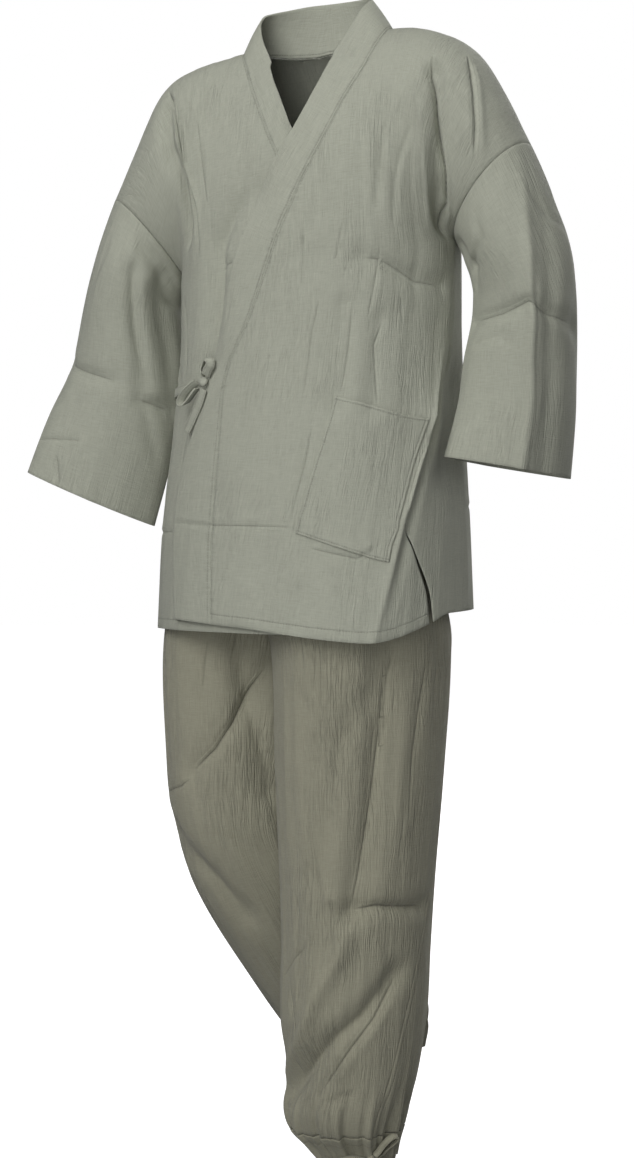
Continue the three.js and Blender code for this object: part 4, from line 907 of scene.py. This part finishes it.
def body_panel(side, name, material):
    neck = 1 + NECK_DROP * sin(np.linspace(0, 90, 20))
    lengths = along_rows([-1, SLIT_TOP, 0, *neck, 2, 2 - SLIT_TOP, 3], BODY_COUNT)
    share = np.linspace(0, 1, BODY_COLUMNS + 1)
    length = lengths[:, None]
    out = span(inner_edge(side, length), outer_edge(side, length), share)
    points = body_half(side, out, np.broadcast_to(length, out.shape))
    row = np.broadcast_to(np.where(length > 1, 2 - length, length), out.shape)
    angle = side * np.where(length > 1, 180 - out, out)
    pressed = pressed_lines_and_shade(BODY_CREASES[side], body_flat, angle, row)
    return cloth(name, points, body_flat(angle, row), CLOTH_WALL, CHEST_MIDDLE, material,
                 pressed=pressed)


def band_on_body(side, row, share):
    seam = row_at(FRONT_SEAM_LEFT if side > 0 else FRONT_SEAM_RIGHT, row)[0]
    edge_row = row + BAND_RISE * ease(-0.1, 0.15, row) * share
    edge = row_at(BAND_EDGE_LEFT if side > 0 else BAND_EDGE_RIGHT, edge_row)[0]
    return body_point(side, span(seam, edge, share), edge_row, side > 0)


def neck_seam(step):
    middle = len(NECK_LENGTHS) - 1
    place = np.minimum(step, NECK_STEPS - step)
    length = np.interp(place, np.arange(middle + 1), NECK_LENGTHS)
    left = body_half(1, inner_edge(1, length) - EDGE_TRIM, length)
    right = body_half(-1, inner_edge(-1, length) - EDGE_TRIM, length)
    return np.where((step <= middle)[..., None], left, right)


def band_on_neck(step, share):
    def straight(at):
        edge = np.moveaxis(row_at(NECK_EDGE, at), 0, -1)
        seam = neck_seam(at)
        return seam + (edge - seam) * share[..., None]

    steps = np.broadcast_to(step, share.shape)
    at = straight(steps)
    for side, end, weight in ((1, 0, 1 - ease(0, 3, steps)),
                              (-1, NECK_STEPS, ease(NECK_STEPS - 3, NECK_STEPS, steps))):
        low = band_on_body(side, np.full(share.shape, NECK_LENGTHS[0]), share)
        at = at + (low - straight(np.full(share.shape, float(end)))) * weight[..., None]
    return at


def band_along(place, share):
    """The band at a place counted in rows, from the left hem round the neck to the right hem."""
    low = len(BAND_LOW_ROWS)
    rows = [*BAND_LOW_ROWS, NECK_LENGTHS[0]]
    place, share = np.broadcast_arrays(np.asarray(place, float), np.asarray(share, float))
    on_left = band_on_body(1, np.interp(place, np.arange(low + 1), rows), share)
    on_right = band_on_body(-1, np.interp(BAND_STEPS - place, np.arange(low + 1), rows), share)
    neck = band_on_neck(np.clip(place - low, 0, NECK_STEPS), share)
    past_left = np.where((place > BAND_STEPS - low)[..., None], on_right, neck)
    return np.where((place < low)[..., None], on_left, past_left)


def collar_band(material):
    place = np.linspace(0, BAND_STEPS, BAND_COUNT + 1)[:, None]
    share = np.linspace(0, 1, BAND_COLUMNS + 1)[None, :]
    inner_place, inner_share = np.broadcast_arrays(np.clip(place, 0.06, BAND_STEPS - 0.06),
                                                   np.clip(share, 0.05, 0.95))
    normal = facing(band_along, inner_place, inner_share, 0.05, 0.05, 1)
    across = unit(band_along(place, np.ones_like(share)) - band_along(place, np.zeros_like(share)))
    low = len(BAND_LOW_ROWS)
    on_neck = ease(low - 1, low + 2, place) * ease(BAND_STEPS - low + 1, BAND_STEPS - low - 2, place)
    lift = BAND_PROUD + BAND_ROLL * sin(180 * share) * on_neck
    from_seam = across * (BAND_SEAM * (1 - share))[..., None]
    points = band_along(place, share) + from_seam + normal * lift[..., None]
    middle = points[:, BAND_COLUMNS // 2]
    v = np.concatenate([[0], np.cumsum(np.linalg.norm(np.diff(middle, axis=0), axis=1))])
    flat = np.meshgrid(BAND_WIDTH * share[0], v)
    return cloth("collar_band", points, flat, BAND_WALL, CHEST_MIDDLE, material)


def pocket(material):
    s, t = np.meshgrid(np.linspace(0, 1, POCKET_COUNT[1] + 1), np.linspace(0, 1, POCKET_COUNT[0] + 1))
    length = span(POCKET_LOWER[0] + POCKET_LOWER[1] * s, POCKET_UPPER[0] + POCKET_UPPER[1] * s, t)
    first, second = row_at(GUIDES, length)
    out = span(inner_edge(1, length), outer_edge(1, length), span(first, second, s))

    def under(a, b):
        return body_half(1, a, b)

    normal = facing(under, out, length, 0.8, 0.012, 1)
    bow = sin(180 * s)
    swell = POCKET_MOUTH * bow * ease(0.72, 1, t) + POCKET_SWELL * bow * sin(180 * t)
    points = under(out, length) + normal * (POCKET_LIFT + CLOTH_WALL + swell)[..., None]
    flat = body_flat(out, length)
    return cloth("patch_pocket", points, flat, CLOTH_WALL, HIP_MIDDLE, material)


def sleeve(side, name, material):
    last = sleeve_table(side)[-1][0]
    rows, columns = SLEEVE_COUNT
    angle, step = np.meshgrid(np.linspace(0, 360, columns + 1), np.linspace(0, last, rows + 1))
    points = sleeve_point(side, angle, step)
    points[:, -1] = points[:, 0]
    middle = points[rows // 2].mean(0)
    flat = sleeve_flat(angle, step)
    creases = SLEEVE_CREASES_LEFT if side > 0 else SLEEVE_CREASES_RIGHT
    pressed = pressed_lines_and_shade(creases, sleeve_flat, angle, step)
    return cloth(name, points, flat, CLOTH_WALL, middle, material, ring=True, pressed=pressed)


def leg_panel(side, back, name, material):
    rows, columns = LEG_COUNT[0], LEG_COUNT[1] * (2 if back else 3) // 3
    foot = CASING[side][0] + CASING_GAP
    height = np.linspace(foot, WAIST_TOP - SEAM_GAP, rows + 1)[:, None]
    seam = row_at(SIDE_LEFT if side > 0 else SIDE_RIGHT, height)[0]
    inner = np.maximum(-90, row_at(INNER, height)[0])
    low = seam + EDGE_TRIM * 1.5 if back else inner + EDGE_TRIM
    high = 180 - inner - EDGE_TRIM if back else seam - EDGE_TRIM * 1.5
    share = np.linspace(0, 1, columns + 1)
    angle = span(low, high, share)
    heights = np.broadcast_to(height, angle.shape)
    points = leg_point(side, angle, heights)
    turn = row_at(leg_table(side), height)[4]
    distance, sideways = from_middle(side, points, np.broadcast_to(turn, angle.shape))
    near = ease(0.85, 1, share) if back else ease(0.15, 0, share)
    shift = (SEAM_GAP - distance[:, -1:] if back else SEAM_GAP - distance[:, :1]) * near
    points = points + sideways * (shift * (height > CROTCH))[..., None]
    x, y = row_at(leg_table(side), heights[rows // 2, 0])[:2]
    inside = (x, y, points[rows // 2].mean(0)[2])
    pressed = pressed_lines_and_shade(LEG_CREASES[side], leg_flat, angle, heights)
    return cloth(name, points, leg_flat(angle, heights), CLOTH_WALL, inside, material,
                 pressed=pressed)


def ankle_casing(side, name, material):
    top, foot = CASING[side]
    rows, columns = CASING_COUNT
    angle, height = np.meshgrid(np.linspace(-90, 270, columns + 1), np.linspace(foot, top, rows + 1))
    points = leg_point(side, angle, height)
    points[:, -1] = points[:, 0]
    flat, middle = leg_flat(angle, height), points[rows // 2].mean(0)
    return cloth(name, points, flat, CASING_WALL, middle, material, ring=True)


def waistband(material):
    x, y, width, depth, turn = LEG_LEFT[-1][1:6]
    rows, columns = WAISTBAND_COUNT
    angle, height = np.meshgrid(np.linspace(0, 360, columns + 1),
                                np.linspace(WAIST_TOP, WAIST_TOP + WAIST_HEIGHT, rows + 1))
    wave = WAIST_GATHER_DEPTH * cos(angle * WAIST_GATHERS)
    a, b = (width + wave) * sin(angle), (depth + wave) * cos(angle)
    points = point(x + a * cos(turn) + b * sin(turn), y + a * sin(turn) - b * cos(turn), height)
    points[:, -1] = points[:, 0]
    flat, middle = (angle * WAIST_ANGLE_MM, height), (x, y, WAIST_TOP)
    return cloth("waistband", points, flat, WAISTBAND_WALL, middle, material, ring=True)


def tape(name, place, width, thick, lean, path, material):
    """A flat tape along a path of right, up and out from a knot."""
    last = len(path) - 1
    keyed = [[i, *row] for i, row in enumerate(path)]
    t = np.linspace(0, last, TAPE_STEPS * last + 1)

    def centre(k):
        return place(*row_at(keyed, k))

    tangent = unit(centre(np.minimum(t + 0.1, last)) - centre(np.maximum(t - 0.1, 0)))
    right, up, out = row_at(keyed, t)
    outward = unit(place(right, up, out + 1) - centre(t))
    flat = unit(np.cross(tangent, outward))
    edge = unit(outward * cos(lean) + flat * sin(lean))
    face = unit(np.cross(edge, tangent))
    share = np.linspace(-0.5, 0.5, 5)
    points = centre(t)[:, None] + edge[:, None] * (share * width)[:, None] + face[:, None] * thick / 2
    v = np.concatenate([[0], np.cumsum(np.linalg.norm(np.diff(centre(t), axis=0), axis=1))])
    inside = centre(t)[len(t) // 2] - face[len(t) // 2] * 5
    return cloth(name, points, np.meshgrid((share + 0.5) * width, v), thick, inside, material)


def knot(name, place, half_width, half_height, half_depth, material, slot):
    """A rounded knot with the grooves of the tape wound round it."""
    centre = place(0.0, 0.0, half_depth)
    right = unit(place(1.0, 0.0, half_depth) - centre)
    out = unit(place(0.0, 0.0, half_depth + 1) - centre)
    up = np.cross(out, right)
    bm = bmesh.new()
    bmesh.ops.create_uvsphere(bm, u_segments=40, v_segments=24, radius=1)
    for vert in bm.verts:
        x, y, z = vert.co
        turn = math.atan2(y, x)
        groove = 0.09 * math.cos(2 * turn + 2.2 * z) + 0.05 * math.cos(5 * turn - 3 * z)
        body = (1 + groove * (1 - abs(z) ** 3)) * 0.94
        at = centre + (right * x * half_width + up * y * half_height + out * z * half_depth) * body
        vert.co = Vector(at * MM)
    for face in bm.faces:
        face.smooth = True
    mesh = bpy.data.meshes.new(name)
    layer = bm.loops.layers.uv.new("grain")
    for face in bm.faces:
        for loop in face.loops:
            loop[layer].uv = (loop.vert.co.x - loop.vert.co.y, loop.vert.co.z)
    bm.to_mesh(mesh)
    bm.free()
    mesh.uv_layers.new(name="edges")
    mesh.materials.append(material)
    obj = bpy.data.objects.new(f"{name}_cloth", mesh)
    bpy.context.scene.collection.objects.link(obj)
    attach(obj, "root")
    return obj


def jacket_ties(material):
    def off_body(side, a, b, out):
        normal = facing(lambda p, q: body_point(side, p, q, side > 0), a, b, 1, 0.01, 1)
        return body_point(side, a, b, side > 0) + normal * np.asarray(out)[..., None]

    def from_seam(side, angle, right, up, out):
        across = np.asarray(right) / ANGLE_MM
        a, b = np.broadcast_arrays(angle + across * side, KNOT_ROW + np.asarray(up) / ROW_MM_BELOW)
        return off_body(side, a, b, out)

    def on_left(right, up, out):
        return from_seam(1, KNOT_ANGLE, right, up, out + KNOT_OUT)

    def on_right(right, up, out):
        return from_seam(-1, 0, right, up, out)

    slot = "jacket_cloth"
    made = [knot("tie_knot", on_left, *TIE_KNOT, material, slot)]
    for name, (lean, path) in TIE_PATHS.items():
        made.append(tape(name, on_left, TIE_WIDTH, TIE_WALL, lean, path, material))
    made.append(tape("tie_side", on_right, TIE_WIDTH, TIE_WALL, SIDE_TIE_LEAN, SIDE_TIE_PATH, material))
    return made


def ankle_laces(side, label, material):
    top, foot = CASING[side]
    middle = span(foot, top, LACE_SHARE)
    ends = [leg_plain(side, np.float64(LACE_ANGLE + a), np.float64(middle)) for a in (1, -1)]
    per_mm = 2 / np.linalg.norm(ends[0] - ends[1])

    def low_leg(angle, height):
        return leg_plain(side, angle, np.maximum(height, foot))

    def place(right, up, out):
        angle, height = np.broadcast_arrays(LACE_ANGLE + side * np.asarray(right) * per_mm,
                                            np.maximum(middle + up, foot - LACE_DROP))
        normal = facing(low_leg, angle, np.maximum(height, foot + 2), 3, 2, side)
        at = low_leg(angle, height) + point(0, 0, np.minimum(0, height - foot))
        return at + normal * np.asarray(out + LACE_OUT)[..., None]

    slot = "trouser_cloth"
    made = [knot(f"ankle_knot_{label}", place, *LACE_KNOTS[side], material, slot)]
    for word, (lean, path) in LACE_PATHS.items():
        made.append(tape(f"ankle_{word}_{label}", place, LACE_WIDTH, LACE_WALL, lean, path, material))
    return made


def linear(red, green, blue):
    values = [v / 255 for v in (red, green, blue)]
    return tuple(v / 12.92 if v <= 0.04045 else ((v + 0.055) / 1.055) ** 2.4 for v in values)


class Graph:
    """Short names for the nodes of one material."""

    def __init__(self, material):
        self.tree = material.node_tree

    def node(self, kind, inputs=(), **settings):
        made = self.tree.nodes.new(kind)
        for key, value in settings.items():
            setattr(made, key, value)
        for key, value in dict(inputs).items():
            if isinstance(value, bpy.types.NodeSocket):
                self.tree.links.new(value, made.inputs[key])
            else:
                made.inputs[key].default_value = value
        return made

    def math(self, operation, a, b=0.0, c=0.0):
        return self.node("ShaderNodeMath", {0: a, 1: b, 2: c}, operation=operation).outputs[0]

    def scaled(self, value, times, plus=0.0):
        return self.math("MULTIPLY_ADD", value, times, plus)

    def add(self, *values):
        total = values[0]
        for value in values[1:]:
            total = self.math("ADD", total, value)
        return total

    def noise(self, u, v, per_u, per_v, seed, detail=2.0):
        at = self.node("ShaderNodeCombineXYZ", {0: self.scaled(u, per_u), 1: self.scaled(v, per_v), 2: seed})
        made = self.node("ShaderNodeTexNoise", {"Vector": at.outputs[0], "Scale": 1.0, "Detail": detail,
                                                "Roughness": 0.55})
        return made.outputs["Fac"]

    def step(self, value, low, high, out_low=0.0, out_high=1.0):
        made = self.node("ShaderNodeMapRange", {"Value": value, "From Min": low, "From Max": high,
                                                "To Min": out_low, "To Max": out_high},
                         interpolation_type="SMOOTHSTEP")
        return made.outputs[0]


def cloth_material(name, colour, seed, crinkle, stitches=(), pucker=0.0, pressed=False):
    """Crinkled plain cotton. Noise is in features for each metre across and along the cloth, and heights
    are in metres. stitches are (axis, place) of stitched lines on the edges layer, pucker draws the cloth
    up along its first edge, and pressed adds the sharp lines of its creases. Painted shade darkens the
    crinkle valleys, the stitch grooves and the crease lines, a faint painted highlight lightens the
    crease lips, and the puckers get painted shade and highlight that follow their rise and fall."""
    material = bpy.data.materials.new(name)
    material.use_nodes = True
    g = Graph(material)
    shader = material.node_tree.nodes["Principled BSDF"]
    grain = g.node("ShaderNodeUVMap", uv_map="grain").outputs[0]
    flat = g.node("ShaderNodeSeparateXYZ", {0: grain})
    u, v = flat.outputs[0], flat.outputs[1]
    patch = g.noise(u, v, 16, 8, seed + 0.7)
    strength = g.step(patch, 0.34, 0.66, 0.35, 1.25)
    wander = g.scaled(g.noise(u, v, 20, 14, seed + 9.1), 0.008)
    bent = g.math("ADD", u, wander)
    fine = g.noise(bent, v, 330, 17, seed + 1.3, 3.0)
    broad = g.noise(bent, v, 120, 9, seed + 2.9)
    slub_v = g.noise(u, v, 1500, 60, seed + 4.1, 1.0)
    slub_u = g.noise(u, v, 90, 1300, seed + 5.3, 1.0)
    warp = g.math("SINE", g.scaled(u, 2 * math.pi / WEAVE))
    weft = g.math("SINE", g.scaled(v, 2 * math.pi / WEAVE))
    weave = g.math("MULTIPLY", warp, weft)
    ridge = g.math("ABSOLUTE", g.scaled(fine, 2.0, -1.0))
    thin = g.noise(bent, v, 170, 13, seed + 6.7, 3.0)
    # Thin crinkle valleys, sunk into the cloth and darkened with painted shade.
    crinkle_valley_and_shade = g.step(g.math("ABSOLUTE", g.scaled(thin, 2.0, -1.0)), 0.10, 0.0)
    crinkle_valley_and_shade = g.math("MULTIPLY", crinkle_valley_and_shade, g.step(patch, 0.36, 0.7, 0.1, 1.0))
    crepe = g.add(g.scaled(ridge, -0.0012 * crinkle), g.scaled(broad, 0.0011 * crinkle))
    rise = g.math("MULTIPLY", crepe, strength)
    height = g.add(rise, g.scaled(slub_v, 0.00032), g.scaled(slub_u, 0.0003), g.scaled(weave, 0.00002),
                   g.scaled(crinkle_valley_and_shade, -0.00045 * crinkle))
    tone = g.add(
        g.scaled(slub_v, 0.3, -0.15), g.scaled(slub_u, 0.28, -0.14), g.scaled(patch, 0.12, -0.06),
        g.scaled(g.math("MULTIPLY", g.scaled(ridge, 0.16, -0.04), strength), crinkle),
        g.scaled(weave, 0.02, 1.0), g.scaled(crinkle_valley_and_shade, -0.09 * crinkle),
    )
    if pressed:
        lines = g.node("ShaderNodeUVMap", uv_map="pressed").outputs[0]
        split = g.node("ShaderNodeSeparateXYZ", {0: lines})
        off, strong = g.math("ABSOLUTE", split.outputs[0]), split.outputs[1]
        # Painted shade darkens the sunk core of each crease line, and a faint painted highlight lightens the
        # raised lip beside it.
        crease_core_and_shade = g.math("MULTIPLY", g.step(off, 0.0016, 0.0), strong)
        lip = g.math("MULTIPLY", g.step(g.math("ABSOLUTE", g.scaled(off, 1.0, -0.0034)), 0.002, 0.0), strong)
        height = g.add(height, g.scaled(crease_core_and_shade, -0.0012), g.scaled(lip, 0.0006))
        tone = g.add(tone, g.scaled(crease_core_and_shade, -0.3), g.scaled(lip, 0.03))
    edges = g.node("ShaderNodeUVMap", uv_map="edges").outputs[0]
    ends = g.node("ShaderNodeSeparateXYZ", {0: edges})
    if pucker:
        # Puckers along the first edge; the tone follows their relief, with painted shade in the hollows and
        # painted highlight on the rises.
        drawn = g.noise(ends.outputs[0], ends.outputs[1], 30, 120, seed + 11.7, 1.0)
        near = g.step(ends.outputs[0], 0.012, 0.001)
        height = g.add(height, g.math("MULTIPLY", g.scaled(drawn, 0.0022 * pucker, -0.0011 * pucker), near))
        tone = g.add(tone, g.math("MULTIPLY", g.scaled(drawn, 0.16 * pucker, -0.09 * pucker), near))
    for axis, place in stitches:
        across, along = ends.outputs[axis], ends.outputs[1 - axis]
        off = g.math("ABSOLUTE", g.scaled(across, 1.0, -place))
        # Each stitched line sits in a sunk groove darkened with painted shade, and its thread dashes are sunk
        # and darker.
        groove = g.step(off, 0.0022, 0.0003)
        dash = g.math("LESS_THAN", g.math("FRACT", g.scaled(along, 1 / STITCH)), 0.66)
        thread = g.math("MULTIPLY", g.step(off, 0.0007, 0.0003), dash)
        height = g.add(height, g.scaled(groove, -0.0003), g.scaled(thread, -0.0003))
        tone = g.add(tone, g.scaled(groove, -0.05), g.scaled(thread, -0.14))
    base = g.node("ShaderNodeRGB")
    base.outputs[0].default_value = (*linear(*colour), 1)
    shade = g.node("ShaderNodeVectorMath", {0: base.outputs[0]}, operation="SCALE")
    g.tree.links.new(tone, shade.inputs["Scale"])
    g.tree.links.new(shade.outputs[0], shader.inputs["Base Color"])
    bump = g.node("ShaderNodeBump", {"Strength": 1.0, "Distance": 1.0, "Height": height})
    g.tree.links.new(bump.outputs[0], shader.inputs["Normal"])
    shader.inputs["Roughness"].default_value = 0.93
    shader.inputs["Specular IOR Level"].default_value = 0.2
    shader.inputs["Sheen Weight"].default_value = 0.12
    shader.inputs["Sheen Roughness"].default_value = 0.5
    return material


def dress():
    """Every piece of the set, each in its own crinkle of cloth."""
    hems = [(1, 0.013), (0, 0.0025)]
    jacket = {
        "left": cloth_material("body_cloth", JACKET_COLOUR, 3, 0.8, hems, 1.0, True),
        "right": cloth_material("right_body_cloth", JACKET_COLOUR, 17, 0.8, hems, 1.0, True),
        "band": cloth_material("band_cloth", JACKET_COLOUR, 29, 0.55, [(0, 0.003)], 1.0),
        "sleeve": cloth_material("sleeve_cloth", JACKET_COLOUR, 41, 0.75, pressed=True),
        "pocket": cloth_material("pocket_cloth", JACKET_COLOUR, 57, 0.75,
                                 [(0, 0.003), (0, 0.117), (1, 0.003), (1, 0.176)], 1.0),
        "tie": cloth_material("tie_cloth", JACKET_COLOUR, 63, 0.15, [(0, 0.0015), (0, 0.0098)]),
    }
    trousers = {
        "front": cloth_material("leg_front_cloth", TROUSER_COLOUR, 71, 1.25, pressed=True),
        "back": cloth_material("leg_back_cloth", TROUSER_COLOUR, 83, 1.25, [(0, 0.006)], pressed=True),
        "casing": cloth_material("casing_cloth", TROUSER_COLOUR, 97, 0.8, [(1, 0.006), (1, 0.034)]),
        "lace": cloth_material("lace_cloth", TROUSER_COLOUR, 101, 0.15, [(0, 0.0012), (0, 0.0068)]),
    }
    return [
        body_panel(1, "jacket_body_left", jacket["left"]),
        body_panel(-1, "jacket_body_right", jacket["right"]),
        collar_band(jacket["band"]),
        sleeve(1, "sleeve_left", jacket["sleeve"]),
        sleeve(-1, "sleeve_right", jacket["sleeve"]),
        pocket(jacket["pocket"]),
        *jacket_ties(jacket["tie"]),
        leg_panel(1, False, "leg_left_front", trousers["front"]),
        leg_panel(1, True, "leg_left_back", trousers["back"]),
        leg_panel(-1, False, "leg_right_front", trousers["front"]),
        leg_panel(-1, True, "leg_right_back", trousers["back"]),
        waistband(trousers["casing"]),
        ankle_casing(1, "ankle_casing_left", trousers["casing"]),
        ankle_casing(-1, "ankle_casing_right", trousers["casing"]),
        *ankle_laces(1, "left", trousers["lace"]),
        *ankle_laces(-1, "right", trousers["lace"]),
    ]


def declare_sheets(named):
    for name, (width, length, area, held, sewn_to, small) in SHEETS.items():
        [other + "_cloth" for other in sewn_to]
        [named[other + "_cloth"] for other in small]


def studio():
    """A pale floor, soft lamps and the camera of the photograph."""
    scene = bpy.context.scene
    scene.view_settings.view_transform = "Standard"
    world = bpy.data.worlds.new("studio")
    world.use_nodes = True
    sky = world.node_tree.nodes["Background"]
    sky.inputs["Color"].default_value = (1, 1, 1, 1)
    sky.inputs["Strength"].default_value = 1.0
    scene.world = world
    world.cycles_visibility.diffuse = False
    world.cycles_visibility.glossy = False
    bm = bmesh.new()
    bmesh.ops.create_circle(bm, cap_ends=True, segments=96, radius=FLOOR_RADIUS)
    mesh = bpy.data.meshes.new("floor")
    bm.to_mesh(mesh)
    bm.free()
    floor = bpy.data.objects.new("floor", mesh)
    floor.location.z = FLOOR_LEVEL
    pale = bpy.data.materials.new("pale_floor")
    pale.use_nodes = True
    shader = pale.node_tree.nodes["Principled BSDF"]
    shader.inputs["Base Color"].default_value = (0.5, 0.5, 0.5, 1)
    shader.inputs["Roughness"].default_value = 0.9
    shader.inputs["Emission Color"].default_value = (1, 1, 1, 1)
    shader.inputs["Emission Strength"].default_value = 1.0
    mesh.materials.append(pale)
    floor.visible_diffuse = False
    scene.collection.objects.link(floor)
    for name, power, size, place, aim in LIGHTS:
        lamp = bpy.data.lights.new(name, "AREA")
        lamp.energy = power
        lamp.shape = "RECTANGLE"
        lamp.size, lamp.size_y = size
        obj = bpy.data.objects.new(name, lamp)
        obj.location = place
        obj.rotation_euler = (Vector(aim) - Vector(place)).to_track_quat("-Z", "Y").to_euler()
        obj.visible_camera = False
        scene.collection.objects.link(obj)
    lens = bpy.data.cameras.new("photo_camera")
    lens.sensor_fit = "VERTICAL"
    lens.sensor_height = CAMERA_SENSOR
    lens.lens = CAMERA_LENS
    camera = bpy.data.objects.new("photo_camera", lens)
    turn = math.radians(CAMERA_TURN)
    camera.location = (CAMERA_DISTANCE * math.sin(turn), -CAMERA_DISTANCE * math.cos(turn), CAMERA_LEVEL)
    camera.rotation_euler = (Vector(CAMERA_AIM) - camera.location).to_track_quat("-Z", "Y").to_euler()
    scene.collection.objects.link(camera)
    scene.camera = camera


ripple_rows = {}
for part, table in (("body", BODY_RIPPLES), ("sleeve", SLEEVE_RIPPLES), ("leg", LEG_RIPPLES)):
    for side, row in table.items():
        ripple_rows[part, side] = ripples_over(*row)
pieces = dress()
for piece in pieces:
    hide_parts(piece.name.removesuffix("_cloth"))
declare_sheets({piece.name: piece for piece in pieces})
studio()
